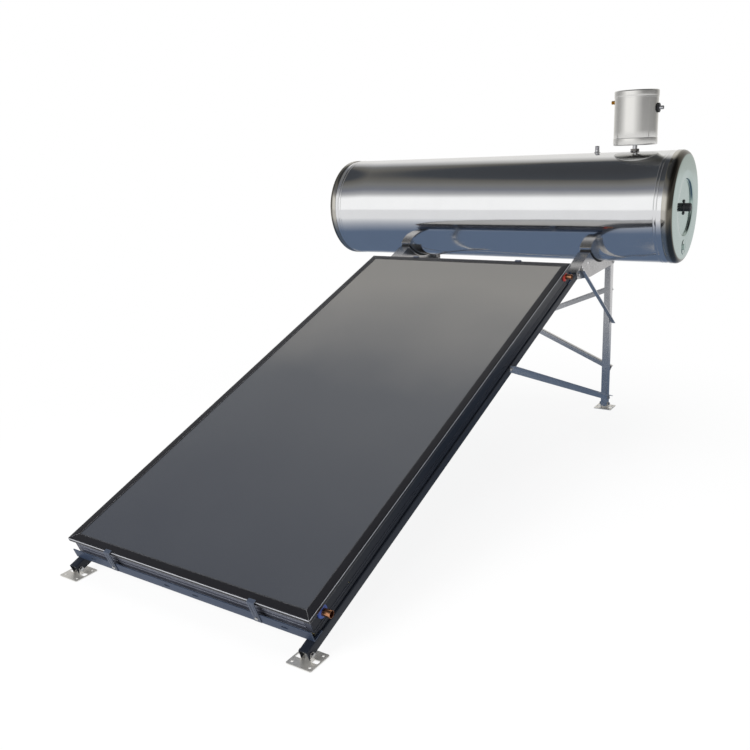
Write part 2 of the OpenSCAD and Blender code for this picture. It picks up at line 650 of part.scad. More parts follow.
module feed_body() color(steel) site() translate([feed_x, tank_y, 0]) difference() {
    union() {
        translate([0, 0, feed_z]) pipe(feed_h, feed_r, feed_wall);
        translate([0, 0, feed_z]) cylinder(h = feed_wall, r = feed_r);
        translate([0, 0, feed_z]) pipe(rim_h, feed_r + 1, 1.5);
    }
    translate([0, 0, feed_z - 1]) cylinder(h = 4, r = stub_r + 0.1);
    translate([-feed_r - 10, 0, valve_z]) rotate([0, 90, 0]) cylinder(h = 20, r = inlet_r + 0.1);
    translate([feed_r - 10, 0, overflow_z]) rotate([0, 90, 0]) cylinder(h = 20, r = 8.1);
}
module feed_lid() color(steel) site() translate([feed_x, tank_y, feed_z + feed_h - lid_h + 3.1]) difference() {
    union() {
        cylinder(h = lid_h - 3, r = feed_r + lid_gap + 1.2);
        translate([0, 0, lid_h - 3]) cylinder(h = 3, r1 = feed_r + lid_gap + 1.2, r2 = feed_r - 3);
    }
    translate([0, 0, -1]) cylinder(h = lid_h - 2, r = feed_r + lid_gap);
}

module feed_inlet() color(brass) site() translate([valve_x, tank_y, valve_z]) {
    difference() {
        union() {
            translate([-17, 0, 0]) rotate([0, 90, 0]) cylinder(h = 37, r = inlet_r);
            translate([-3.1, 0, 0]) rotate([0, 90, 0]) cylinder(h = 3, r = 11.5, $fn = 6);
            translate([2.2, 0, 0]) rotate([0, 90, 0]) cylinder(h = 5, r = 12, $fn = 6);
            for (dy = [-7, 4]) translate([18, dy, -20]) cube([20, 3, 24]);
        }
        translate([-18, 0, 0]) rotate([0, 90, 0]) cylinder(h = 60, r = 3.06);
        translate([float_px - valve_x, -20, float_pz - valve_z]) rotate([-90, 0, 0]) cylinder(h = 40, r = 2);
        translate([20.1, -4, -21]) cube([30, 8, 27]);
    }
    translate([float_px - valve_x, -9, float_pz - valve_z]) rotate([-90, 0, 0]) cylinder(h = 18, r = 2);
}
module feed_overflow() color(steel) site() translate([feed_x + feed_r, tank_y, overflow_z]) rotate([0, 90, 0]) {
    difference() {
        union() {
            translate([0, 0, -8]) cylinder(h = 32, r = 8);
            translate([0, 0, 0.1]) cylinder(h = 8, r = 20, $fn = 6);
            translate([0, 0, -7.9]) cylinder(h = 5.7, r = 12, $fn = 6);
        }
        translate([0, 0, -20]) cylinder(h = 60, r = 6);
    }
}
module float_arm() color(brass) site() translate([float_px, tank_y, float_pz])
    rotate([0, float_drop, 0]) difference() {
    union() {
        translate([0, -2.5, -3]) cube([float_len - ball_r + 2, 5, 6]);
        rotate([-90, 0, 0]) translate([0, 0, -3.5]) cylinder(h = 7, r = 5);
        translate([-3, -2.5, 0]) cube([6, 5, lever_in]);
        translate([float_len, 0, 0]) sphere(r = ball_r);
    }
    rotate([-90, 0, 0]) translate([0, 0, -10]) cylinder(h = 20, r = 2.05);
}
module valve_plunger() color(steel) site() translate([valve_x, tank_y, valve_z])
    translate([plunger_out - 8, 0, 0]) rotate([0, 90, 0]) cylinder(h = 8 + float_px - valve_x - 4, r = 3);

frame_side_left();
frame_side_right();
frame_end_lower();
frame_end_upper();
bezel_left();
bezel_right();
bezel_lower();
bezel_upper();
glass_cover();
glass_gasket();
absorber_plate();
riser_tubes();
header_lower();
header_upper();
collector_insulation();
back_sheet();
blue_grommets();
red_grommets();
rail_left();
rail_right();
cross_rail_lower();
cross_rail_upper();
hook_clips_lower();
hook_clips_upper();
clip_screws();
rail_rivets();
leg_left();
leg_right();
side_brace_left();
side_brace_right();
knee_brace_left();
knee_brace_right();
rear_brace_a();
rear_brace_b();
saddle_left();
saddle_right();
saddle_pads();
frame_bolts();
pivot_bolts();
foot_front_left();
foot_front_right();
foot_rear_left();
foot_rear_right();
tank_shell();
tank_cap_left();
tank_cap_right();
tank_foam();
inner_tank();
tank_nipples();
heater_cover();
heating_element();
anode_rod();
cap_screws();
feed_body();
feed_lid();
feed_inlet();
feed_overflow();
float_arm();
valve_plunger();
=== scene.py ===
# Looks of the solar water heater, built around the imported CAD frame.
# Shapes are drawn in millimetres in one of two drawing frames and placed in metres:
# SITE is the stand's frame (X across, Y back, Z up), SLOPE lies on the collector's top face
# (X across, Y up the slope, Z square to the glass).
import math

import bmesh
import bpy
from mathutils import Matrix, Vector


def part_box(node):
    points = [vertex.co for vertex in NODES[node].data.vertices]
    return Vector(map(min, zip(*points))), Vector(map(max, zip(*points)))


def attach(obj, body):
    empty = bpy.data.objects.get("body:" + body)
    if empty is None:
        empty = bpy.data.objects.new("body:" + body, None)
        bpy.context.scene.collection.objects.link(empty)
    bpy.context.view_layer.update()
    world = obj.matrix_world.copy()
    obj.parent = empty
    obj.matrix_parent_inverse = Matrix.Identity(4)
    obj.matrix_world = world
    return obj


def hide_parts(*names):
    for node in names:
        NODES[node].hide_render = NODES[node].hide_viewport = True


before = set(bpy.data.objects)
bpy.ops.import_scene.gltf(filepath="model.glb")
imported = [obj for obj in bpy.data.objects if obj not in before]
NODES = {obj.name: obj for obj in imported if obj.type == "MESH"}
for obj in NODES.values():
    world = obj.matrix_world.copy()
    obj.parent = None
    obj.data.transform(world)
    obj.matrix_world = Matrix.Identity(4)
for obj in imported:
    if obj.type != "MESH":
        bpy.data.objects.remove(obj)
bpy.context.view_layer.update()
SCENE = bpy.context.scene
STAND = "stand"

# ---- camera
camera_data = bpy.data.cameras.new("camera")
camera_data.lens = 39.30
camera_data.sensor_width = 36.0
camera = bpy.data.objects.new("camera", camera_data)
camera.location = (1.7453, -2.7138, 1.3117)
camera.rotation_euler = [math.radians(a) for a in (74.589, 2.463, 33.309)]
SCENE.collection.objects.link(camera)
SCENE.camera = camera

# ---- dimensions, mm
MM = 0.001
TILT = math.radians(20)
COLL_W = 1000
COLL_L = 2000
COLL_H = 80
WALL_X = 490
EDGE_IN = 10
BEZEL_W = 28
BEZEL_T = 2
SKIRT_H = 14
HEADER_N = -33
HEADER_S = (60, 1940)
HEADER_R = 11
STUB_IN = 4.6
STUB_L = 34
RAIL_X = 480
RAIL_W = 30
RAIL_N = -83
RAIL_TOP = 2148
CROSS_T = 3
CROSS_REACH = 495
CROSS_TOP = -46
CLIP_X = (300, 260)
LEG_Y = 2465
LEG_D = 40
LEG_TOP = 756
PIVOT_Z = 20
FOOT_W = 86
OUTER = RAIL_W / 2
SADDLE_T = 2.5
SADDLE_W = 52
PAD_T = 7.5
ARC_FROM = 229
ARC_TO = 291
CAP_SKIRT = 42
CAP_ROUND = 24
BOLT_R = 4
PIVOT_BORE = 4.01
SPANNER = 13


def centre(node):
    low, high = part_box(node)
    return (low + high) / 2


glass_low, glass_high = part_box("glass_cover")
GLASS_S = 14
GLASS_TOP = -2
GLASS_UNDER = -5.2
SITE_ORIGIN = Vector((centre("rail_right").x - RAIL_X * MM, centre("leg_right").y - LEG_Y * MM, 0))
SLOPE_ORIGIN = Vector((
    SITE_ORIGIN.x,
    glass_low.y - (GLASS_S * math.cos(TILT) - GLASS_TOP * math.sin(TILT)) * MM,
    glass_low.z - (GLASS_S * math.sin(TILT) + GLASS_UNDER * math.cos(TILT)) * MM,
))
SCALE = Matrix.Scale(MM, 4)
SITE = Matrix.Translation(SITE_ORIGIN) @ SCALE
SLOPE = Matrix.Translation(SLOPE_ORIGIN) @ Matrix.Rotation(TILT, 4, "X") @ SCALE
LIP_H = SLOPE_ORIGIN.z / MM

tank_low, tank_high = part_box("tank_shell")
TANK_R = (tank_high.z - tank_low.z) / 2 / MM
TANK_Y = (centre("tank_shell").y - SITE_ORIGIN.y) / MM
TANK_Z = centre("tank_shell").z / MM
TANK_LEFT = (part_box("tank_cap_left")[0].x - SITE_ORIGIN.x) / MM
TANK_RIGHT = (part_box("tank_cap_right")[1].x - SITE_ORIGIN.x) / MM
TANK_MID = (TANK_LEFT + TANK_RIGHT) / 2
HALF_L = (TANK_RIGHT - TANK_LEFT) / 2
feed_low, feed_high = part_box("feed_body")
FEED_X = (centre("feed_body").x - SITE_ORIGIN.x) / MM
FEED_Z = feed_low.z / MM
FEED_H = (feed_high.z - feed_low.z) / MM
FEED_R = 92
LID_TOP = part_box("feed_lid")[1].z / MM
LID_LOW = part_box("feed_lid")[0].z / MM
INLET_Z = FEED_Z + 184
OVERFLOW_Z = FEED_Z + 152
VENT_X = 462
ARC_R = TANK_R + 0.5 + PAD_T + SADDLE_T


def on_slope(s, n):
    """Distance behind the low edge, and height, of a point of the slope frame."""
    return Vector((
        s * math.cos(TILT) - n * math.sin(TILT),
        LIP_H + s * math.sin(TILT) + n * math.cos(TILT),
    ))


FOOT_FRONT = Vector(((centre("foot_front_right").y - SITE_ORIGIN.y) / MM, PIVOT_Z))
FOOT_REAR = Vector((LEG_Y, PIVOT_Z))
RAIL_MID = RAIL_N - RAIL_W / 2
BRACE_FRONT = on_slope(1334, RAIL_MID)
BRACE_REAR = Vector((LEG_Y, 52))
KNEE_FRONT = on_slope(2122, RAIL_MID)
KNEE_REAR = Vector((LEG_Y, 455))
SADDLE_BOLT = on_slope(2078, RAIL_MID)
LEG_BOLT = Vector((LEG_Y, 742))
CROSS_Z = (605, 200)


# ---- materials
def wire(tree, node, inputs):
    """Sets a node's inputs; each is a value or another node's output."""
    for key, value in inputs.items():
        if isinstance(value, bpy.types.NodeSocket):
            tree.links.new(value, node.inputs[key])
        else:
            node.inputs[key].default_value = value


def add(tree, kind, inputs, output=0, **settings):
    """Adds a shader node and returns one of its outputs."""
    node = tree.nodes.new("ShaderNode" + kind)
    for key, value in settings.items():
        setattr(node, key, value)
    wire(tree, node, inputs)
    return node.outputs[output]


def remap(tree, source, low, high, to_low=0.0, to_high=1.0):
    return add(tree, "MapRange", {"Value": source, "From Min": low, "From Max": high,
                                  "To Min": to_low, "To Max": to_high})


def mix_color(tree, factor, a, b):
    return add(tree, "Mix", {"Factor": factor, "A": a, "B": b}, "Result", data_type="RGBA")


def math_step(tree, operation, *values):
    return add(tree, "Math", dict(enumerate(values)), operation=operation)


def vector_step(tree, operation, a, b, output="Vector"):
    return add(tree, "VectorMath", {0: a, 1: b}, output, operation=operation)


def noise(tree, vector, scale, detail):
    return add(tree, "TexNoise", {"Vector": vector, "Scale": scale, "Detail": detail}, "Fac")


def color_ramp(tree, factor, stops):
    """Colour ramp whose first and last stops lead the list."""
    color = add(tree, "ValToRGB", {"Fac": factor}, "Color")
    elements = color.node.color_ramp.elements
    for element, (position, value) in zip(elements, stops[:2]):
        element.position = position
        element.color = value + (1,)
    for position, value in stops[2:]:
        elements.new(position).color = value + (1,)
    return color


def object_place(tree):
    return add(tree, "TexCoord", {}, "Object")


def axis_parts(tree, vector):
    return add(tree, "SeparateXYZ", {"Vector": vector}).node.outputs


def new_material(name):
    mat = bpy.data.materials.new(name)
    mat.use_nodes = True
    return mat, mat.node_tree, mat.node_tree.nodes["Principled BSDF"]


def shade(color, factor):
    return tuple(min(1.0, c * factor) for c in color) + (1.0,)


def finish(name, color, metallic=0.0, roughness=0.5, vary=0.12, grain=(1, 1, 1), size=12.0,
           rough_vary=0.08, fine=900.0, bump=0.05, bump_depth=0.0004, edge_wear_and_highlight=0.0,
           edge_wear_and_highlight_color=(1, 1, 1), waves=0.0, specular=0.5):
    """Procedural finish: cloudy colour, uneven gloss, fine relief, and recoloured edges: partly rubbed
    paint, partly painted highlight.

    grain stretches the fine relief, size is the clouds' frequency per metre, and waves adds the
    long shallow ripples of thin sheet metal.
    """
    mat, tree, shader = new_material(name)
    place = object_place(tree)
    stretch = add(tree, "Mapping", {"Vector": place, "Scale": grain})
    clouds = noise(tree, place, size, 5.0)
    tone = mix_color(tree, clouds, shade(color, 1 - vary), shade(color, 1 + vary))
    relief = noise(tree, stretch, fine, 3.0)
    gloss = remap(tree, relief, 0.3, 0.7, max(0.02, roughness - rough_vary),
                  min(1.0, roughness + rough_vary))
    dent = {"Strength": bump, "Distance": bump_depth, "Height": relief}
    if waves:
        ripple = noise(tree, place, 5.0, 1.0)
        dent["Normal"] = add(tree, "Bump", {"Strength": waves, "Distance": 0.01, "Height": ripple})
    # Bevel mask recolours the edges: partly rubbed paint, partly a painted highlight where the edge colour
    # is lighter.
    if edge_wear_and_highlight:
        soft = add(tree, "Bevel", {"Radius": 0.0016}, samples=4)
        plain = add(tree, "NewGeometry", {}, "Normal")
        match = vector_step(tree, "DOT_PRODUCT", soft, plain, "Value")
        edge = remap(tree, match, 0.985, 0.90, 0.0, edge_wear_and_highlight)
        patchy_edge_wear_and_highlight = math_step(tree, "MULTIPLY", edge, relief)
        tone = mix_color(tree, patchy_edge_wear_and_highlight, tone, shade(edge_wear_and_highlight_color, 1))
    wire(tree, shader, {"Metallic": metallic, "Specular IOR Level": specular, "Base Color": tone,
                        "Roughness": gloss, "Normal": add(tree, "Bump", dent)})
    return mat


def glass_finish(name):
    """Patterned collector glass over the black absorber: satin, with a fine pressed texture."""
    mat, tree, shader = new_material(name)
    place = object_place(tree)
    cells = add(tree, "TexVoronoi", {"Vector": place, "Scale": 420.0}, "Distance")
    press = add(tree, "Bump", {"Strength": 0.22, "Distance": 0.0008, "Height": cells})
    haze = noise(tree, place, 2.2, 4.0)
    # Colour grows lighter and warmer towards the glass's upper end, with patchy haze.
    climb = remap(tree, axis_parts(tree, place)["Y"], glass_low.y, glass_high.y)
    haze_lighter_up_slope = math_step(tree, "MULTIPLY_ADD", haze, 0.25, climb)
    color = color_ramp(tree, haze_lighter_up_slope, [(0.05, (0.034, 0.038, 0.048)), (1.0, (0.150, 0.145, 0.136)),
                                    (0.6, (0.056, 0.060, 0.067))])
    wire(tree, shader, {"Specular IOR Level": 0.9, "IOR": 1.52, "Normal": press, "Base Color": color,
                        "Roughness": remap(tree, haze, 0.0, 1.0, 0.30, 0.40)})
    return mat


def cap_finish(name):
    """Greenish polished cap with a lighter skirt; its rounded edge is darkened as a painted reflection."""
    mat = finish(name, (0.41, 0.52, 0.48), metallic=1.0, roughness=0.13, vary=0.05, rough_vary=0.04,
                 fine=400, bump=0.02, waves=0.03)
    tree = mat.node_tree
    shader = tree.nodes["Principled BSDF"]
    face = shader.inputs["Base Color"].links[0].from_socket
    place = object_place(tree)
    middle = SITE_ORIGIN + Vector((TANK_MID, TANK_Y, TANK_Z)) * MM
    offset = vector_step(tree, "SUBTRACT", place, middle)
    across = vector_step(tree, "MULTIPLY", offset, (0, 1, 1))
    radius = add(tree, "VectorMath", {0: across}, "Value", operation="LENGTH")
    # Painted reflection: the rounded rim darkened towards a dark brown-black.
    edge = remap(tree, radius, (TANK_R - 20) * MM, (TANK_R - 14) * MM)
    rim_painted_reflection = mix_color(tree, edge, face, (0.15, 0.138, 0.112, 1))
    outward = math_step(tree, "ABSOLUTE", axis_parts(tree, offset)["X"])
    skirt = remap(tree, outward, (HALF_L - 18) * MM, (HALF_L - 27) * MM)
    wire(tree, shader, {"Base Color": mix_color(tree, skirt, rim_painted_reflection, (0.56, 0.54, 0.49, 1))})
    return mat


GRAIN_X = (0.04, 1, 1)
GRAIN_Z = (1, 1, 0.04)
# Edge colours given to finish below are partly rubbed paint, partly painted highlight.
M = {
    # Side walls: the frame's coat darkened as painted shade.
    "frame_dark": finish(
        "frame_coat_painted_shade", (0.006, 0.008, 0.013), roughness=0.36, specular=0.25, vary=0.2, bump=0.15,
        edge_wear_and_highlight=0.6, edge_wear_and_highlight_color=(0.12, 0.13, 0.16)),
    # Grey edge colour on the black cover strips: painted highlight along their folds, partly rubbed
    # anodising.
    "bezel_black": finish(
        "bezel_anodised", (0.009, 0.009, 0.011), roughness=0.36, specular=0.35, bump=0.1, edge_wear_and_highlight=1.0,
        edge_wear_and_highlight_color=(0.42, 0.42, 0.44)),
    "collector_glass": glass_finish("patterned_glass"),
    "seal_rubber": finish("seal_rubber", (0.018, 0.018, 0.019), roughness=0.75, fine=1200, bump=0.4),
    "absorber_black": finish(
        "absorber_coating", (0.02, 0.022, 0.035), metallic=0.6, roughness=0.35, fine=300),
    "copper": finish(
        "bare_copper", (0.72, 0.34, 0.18), metallic=1.0, roughness=0.28, vary=0.22, size=60, fine=700,
        grain=(0.1, 1, 1), bump=0.12),
    "mineral_wool": finish(
        "mineral_wool", (0.62, 0.54, 0.28), roughness=0.95, vary=0.25, size=120, fine=600, bump=0.9,
        bump_depth=0.002),
    "sheet_zinc": finish(
        "embossed_zinc", (0.50, 0.51, 0.52), metallic=0.9, roughness=0.42, vary=0.14, size=40, fine=120,
        bump=0.5, bump_depth=0.001),
    "grommet_blue": finish("grommet_blue", (0.035, 0.075, 0.30), bump=0.25),
    "grommet_red": finish("grommet_red", (0.42, 0.035, 0.025), bump=0.25),
    "rail_dark": finish(
        "rail_powder_coat", (0.012, 0.015, 0.022), roughness=0.42, specular=0.35, vary=0.2, bump=0.25,
        edge_wear_and_highlight=0.5, edge_wear_and_highlight_color=(0.12, 0.13, 0.15)),
    # End walls: the same frame coat lightened as painted light.
    "end_wall": finish(
        "frame_coat_painted_light", (0.105, 0.113, 0.145), metallic=0.3, roughness=0.34, vary=0.15, bump=0.15,
        edge_wear_and_highlight=0.9, edge_wear_and_highlight_color=(0.34, 0.35, 0.38)),
    "clip_coat": finish(
        "clip_coat", (0.058, 0.072, 0.104), metallic=0.3, roughness=0.36, fine=700, bump=0.15, edge_wear_and_highlight=0.7,
        edge_wear_and_highlight_color=(0.25, 0.27, 0.31)),
    "cross_blue": finish(
        "cross_rail_coat", (0.038, 0.054, 0.092), metallic=0.3, roughness=0.4, specular=0.3, vary=0.16,
        bump=0.25, edge_wear_and_highlight=0.6, edge_wear_and_highlight_color=(0.25, 0.28, 0.33)),
    "bolt_steel": finish(
        "bright_zinc", (0.62, 0.62, 0.61), metallic=1.0, roughness=0.24, size=90, bump=0.1),
    # Near-white edge colour on the stand and saddle steel: painted highlight, partly rubbed zinc.
    "stand_steel": finish(
        "galvanised_steel", (0.70, 0.69, 0.68), metallic=1.0, roughness=0.26, vary=0.14, size=14,
        fine=260, bump=0.06, edge_wear_and_highlight=0.5, edge_wear_and_highlight_color=(0.92, 0.92, 0.92)),
    # Painted highlight for the cover strips' folds.
    "painted_highlight_metal": finish(
        "painted_fold_highlight", (0.50, 0.51, 0.54), metallic=0.4, roughness=0.35, vary=0.25, size=30,
        fine=700, bump=0.1),
    "saddle_steel": finish(
        "saddle_plate", (0.50, 0.49, 0.48), metallic=1.0, roughness=0.28, vary=0.16, size=14, fine=260,
        bump=0.06, edge_wear_and_highlight=0.6, edge_wear_and_highlight_color=(0.92, 0.92, 0.92)),
    "foot_steel": finish(
        "satin_stainless", (0.86, 0.84, 0.79), metallic=0.8, roughness=0.42, vary=0.1,
        grain=(0.06, 1, 1), bump=0.2, edge_wear_and_highlight=0.3, edge_wear_and_highlight_color=(0.7, 0.7, 0.68)),
    "tank_polished": finish(
        "polished_stainless", (0.87, 0.875, 0.88), metallic=1.0, roughness=0.10, vary=0.03,
        rough_vary=0.03, grain=(0.02, 1, 1), fine=420, bump=0.02, waves=0.035),
    "cap_polished": cap_finish("polished_cap"),
    "foam": finish("rigid_foam", (0.75, 0.62, 0.30), roughness=0.9, vary=0.15, size=200, bump=0.8),
    "inner_steel": finish(
        "welded_stainless", (0.5, 0.5, 0.5), metallic=1.0, roughness=0.35, fine=300, grain=GRAIN_X),
    "brass": finish(
        "machined_brass", (0.66, 0.42, 0.14), metallic=1.0, roughness=0.26, vary=0.15, size=120,
        grain=(0.3, 1, 1), bump=0.12),
    "heater_black": finish("moulded_black", (0.022, 0.022, 0.025), roughness=0.42, fine=1400, bump=0.35),
    "anode_metal": finish(
        "cast_anode", (0.42, 0.42, 0.43), metallic=0.9, roughness=0.6, fine=500, bump=0.5),
    "feed_satin": finish(
        "satin_feed_tank", (0.84, 0.83, 0.80), metallic=1.0, roughness=0.22, vary=0.02, grain=GRAIN_Z,
        bump=0.008, rough_vary=0.03),
    "chrome_fitting": finish(
        "plated_fitting", (0.62, 0.62, 0.64), metallic=1.0, roughness=0.12, bump=0.04),
    "nut_dark": finish("dark_plated_nut", (0.20, 0.19, 0.18), metallic=1.0, roughness=0.3),
    "nut_black": finish("black_nut", (0.012, 0.012, 0.014), roughness=0.4, fine=1200, bump=0.3),
}


# ---- shape tools
def fillet(points, radii, steps=4, closed=False):
    """Polyline with its corners rounded. radii is one number or one for each point."""
    points = [Vector(p) for p in points]
    count = len(points)
    if not isinstance(radii, (list, tuple)):
        radii = [radii] * count
    result = []
    for i, corner in enumerate(points):
        if radii[i] <= 0 or (not closed and i in (0, count - 1)):
            result.append(corner)
            continue
        before = points[i - 1] - corner
        after = points[(i + 1) % count] - corner
        half = before.angle(after) / 2
        if abs(half - math.pi / 2) < 1e-3:
            result.append(corner)
            continue
        back = min(radii[i] / math.tan(half), before.length * 0.49, after.length * 0.49)
        radius = back * math.tan(half)
        inward = (before.normalized() + after.normalized()).normalized()
        middle = corner + inward * (radius / math.sin(half))
        start = corner + before.normalized() * back - middle
        end = corner + after.normalized() * back - middle
        sweep = start.angle_signed(end)
        for k in range(steps + 1):
            angle = -sweep * k / steps
            c, s = math.cos(angle), math.sin(angle)
            result.append(middle + Vector((start.x * c - start.y * s, start.x * s + start.y * c)))
    return result


def bent_sheet(path, thickness=2, radius=2.4, steps=4):
    """Closed outline of a strip of sheet metal folded along a path through its middle."""
    line = fillet(path, radius, steps)
    left, right = [], []
    for i, point in enumerate(line):
        ahead = line[min(i + 1, len(line) - 1)] - point
        behind = point - line[max(i - 1, 0)]
        way = (ahead.normalized() if ahead.length else Vector((0, 0)))
        way = (way + (behind.normalized() if behind.length else Vector((0, 0)))).normalized()
        side = Vector((-way.y, way.x)) * (thickness / 2)
        left.append(point + side)
        right.append(point - side)
    return left + right[::-1]


def polar(r, angle, u=0.0, v=0.0):
    """Point at radius r and that angle round (u, v)."""
    return (u + r * math.cos(angle), v + r * math.sin(angle))


def prism(outline, a, b, slant=(0.0, 0.0)):
    """Solid with that outline (u, v) between w = a and w = b; slant moves each end with u."""
    bm = bmesh.new()
    rings = []
    for end, lean in ((a, slant[0]), (b, slant[1])):
        rings.append([bm.verts.new((p[0], p[1], end + lean * p[0])) for p in outline])
    count = len(outline)
    for i in range(count):
        j = (i + 1) % count
        bm.faces.new((rings[0][i], rings[0][j], rings[1][j], rings[1][i]))
    bm.faces.new(rings[0][::-1])
    bm.faces.new(rings[1])
    return bm


def plate(outline, holes, thickness):
    """Flat plate in the u-v plane from w = 0, with holes right through it."""
    bm = bmesh.new()
    edges = []
    for loop in [outline] + list(holes):
        ring = [bm.verts.new((p[0], p[1], 0)) for p in loop]
        edges += [bm.edges.new((ring[i - 1], ring[i])) for i in range(len(ring))]
    bmesh.ops.triangle_fill(bm, use_beauty=True, use_dissolve=False, edges=edges)
    grown = bmesh.ops.extrude_face_region(bm, geom=bm.faces[:])
    top = [v for v in grown["geom"] if isinstance(v, bmesh.types.BMVert)]
    bmesh.ops.translate(bm, verts=top, vec=(0, 0, thickness))
    return bm


def lathe(profile, steps=48, closed=False):
    """Solid of revolution about Z from a profile of (radius, height)."""
    bm = bmesh.new()
    rings = []
    for r, z in profile:
        if r < 1e-6:
            rings.append([bm.verts.new((0, 0, z))])
        else:
            angles = [2 * math.pi * k / steps for k in range(steps)]
            rings.append([bm.verts.new(polar(r, a) + (z,)) for a in angles])
    pairs = list(zip(rings, rings[1:]))
    if closed:
        pairs.append((rings[-1], rings[0]))
    for low, high in pairs:
        for k in range(steps):
            n = (k + 1) % steps
            if len(low) == 1 and len(high) == 1:
                continue
            if len(low) == 1:
                bm.faces.new((low[0], high[k], high[n]))
            elif len(high) == 1:
                bm.faces.new((low[k], low[n], high[0]))
            else:
                bm.faces.new((low[k], low[n], high[n], high[k]))
    return bm


def ring_of(u, v, r, count=20, stretch=0.0):
    """Circle of points, or a slot when stretch is given."""
    points = []
    for k in range(count):
        a = 2 * math.pi * k / count
        shift = stretch if math.cos(a) > 0 else -stretch
        points.append(polar(r, a, u + shift, v))
    return points


def hexagon(flats, height, chamfer=0.8):
    """Hexagonal prism from Z = 0 with both rims turned down to a cone."""
    corner = flats / 2 / math.cos(math.pi / 6)
    bm = bmesh.new()
    levels = [(corner - chamfer * 1.2, 0), (corner, chamfer * 0.6), (corner, height - chamfer * 0.6),
              (corner - chamfer * 1.2, height)]
    angles = [math.pi * k / 3 for k in range(6)]
    rings = [[bm.verts.new(polar(r, a) + (z,)) for a in angles] for r, z in levels]
    for low, high in zip(rings, rings[1:]):
        for k in range(6):
            n = (k + 1) % 6
            bm.faces.new((low[k], low[n], high[n], high[k]))
    bm.faces.new(rings[0][::-1])
    bm.faces.new(rings[-1])
    return bm


def thread(radius, a, b, pitch, tip=0.6):
    """Profile of a threaded rod from height a to b, closed on the axis at both ends."""
    profile = [(0, a), (radius - tip - 0.3, a), (radius - 0.2, a + tip)]
    z = a + tip
    while z + pitch < b - tip:
        profile += [(radius, z + pitch * 0.25), (radius - tip, z + pitch * 0.75)]
        z += pitch
    return profile + [(radius - 0.2, b - tip), (radius - tip - 0.3, b), (0, b)]


def move(bm, matrix):
    """Turns a closed shape's faces outwards and moves it, mirrored or not."""
    bmesh.ops.recalc_face_normals(bm, faces=bm.faces[:])
    bm.transform(matrix)
    if matrix.determinant() < 0:
        bmesh.ops.reverse_faces(bm, faces=bm.faces[:])


def merge(*parts):
    """Joins (bmesh, matrix) pairs into one bmesh."""
    result = bmesh.new()
    for bm, matrix in parts:
        move(bm, matrix)
        mesh = bpy.data.meshes.new("part")
        bm.to_mesh(mesh)
        bm.free()
        result.from_mesh(mesh)
        bpy.data.meshes.remove(mesh)
    return result


def new_object(name, bm):
    """Puts a bmesh into the scene as an object."""
    mesh = bpy.data.meshes.new(name)
    bm.to_mesh(mesh)
    bm.free()
    obj = bpy.data.objects.new(name, mesh)
    SCENE.collection.objects.link(obj)
    return obj


def cut_away(obj, tool_bm):
    """Takes the tool's volume out of the object."""
    bmesh.ops.recalc_face_normals(tool_bm, faces=tool_bm.faces[:])
    tool = new_object("cutter", tool_bm)
    cut = obj.modifiers.new("cut", "BOOLEAN")
    cut.operation = "DIFFERENCE"
    cut.solver = "EXACT"
    cut.object = tool
    view = bpy.context.evaluated_depsgraph_get()
    done = bpy.data.meshes.new_from_object(obj.evaluated_get(view))
    obj.modifiers.clear()
    obj.data = done
    bpy.data.objects.remove(tool)


def piece(name, bm, material, place, body=STAND, replaces=None, sharp=32, cutters=()):
    """Puts a finished mesh into the scene, riding on its body.

    It replaces the CAD nodes named, or else the one that has its own name.
    """
    move(bm, place)
    obj = new_object(name, bm)
    obj.data.materials.append(M[material])
    if cutters:
        tool_bm = merge(*cutters)
        tool_bm.transform(place)
        cut_away(obj, tool_bm)
    obj.data.shade_smooth()
    obj.data.set_sharp_from_angle(angle=math.radians(sharp))
    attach(obj, body)
    if replaces is None and name in NODES:
        replaces = (name,)
    if replaces:
        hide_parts(*replaces)


def rod(radius, length, steps=20):
    """Plain cylinder along Z from height 0."""
    return lathe([(0, 0), (radius, 0), (radius, length), (0, length)], steps)


def hollow(profile, steps=40):
    """Solid of revolution from a closed profile that stays off the axis."""
    return lathe(profile, steps, closed=True)


def turn(axis, degrees):
    return Matrix.Rotation(math.radians(degrees), 4, axis)


def at(x, y, z):
    return Matrix.Translation((x, y, z))


HERE = Matrix.Identity(4)
MIRROR_X = Matrix.Scale(-1, 4, (1, 0, 0))
# Drawing planes: outline (u, v) and length w become (x, y, z) of the frame.
ALONG_Y = Matrix(((1, 0, 0, 0), (0, 0, 1, 0), (0, 1, 0, 0), (0, 0, 0, 1)))  # u=x, v=z, w=y
ACROSS = Matrix(((0, 0, 1, 0), (1, 0, 0, 0), (0, 1, 0, 0), (0, 0, 0, 1)))  # u=y, v=z, w=x
TO_X = turn("Y", 90)  # Z becomes X
SIDES = ((-1, "left"), (1, "right"))
LOW_END = HERE
HIGH_END = at(0, COLL_L, 0) @ Matrix.Scale(-1, 4, (0, 1, 0))  # The low end mirrored


def sided(side):
    """Mirrors a part of the right side to the left where side is negative."""
    return MIRROR_X if side < 0 else HERE


def across_hole(x, p, r, length=20, steps=20):
    """Cutter along X that starts at x, at the point p across it."""
    return rod(r, length, steps), at(x, p[0], p[1]) @ TO_X


# ---- collector
def bezel(name, length, place):
    """Folded cover strip with mitred ends; its outer face is at u = 0."""
    outline = bent_sheet([(-BEZEL_W, -BEZEL_T / 2), (-BEZEL_T / 2, -BEZEL_T / 2), (-BEZEL_T / 2, -SKIRT_H)],
                         BEZEL_T, 2.2, 5)
    gap = 0.35
    piece(name, prism(outline, gap, length - gap, (-1, 1)), "bezel_black", SLOPE @ place @ ALONG_Y)


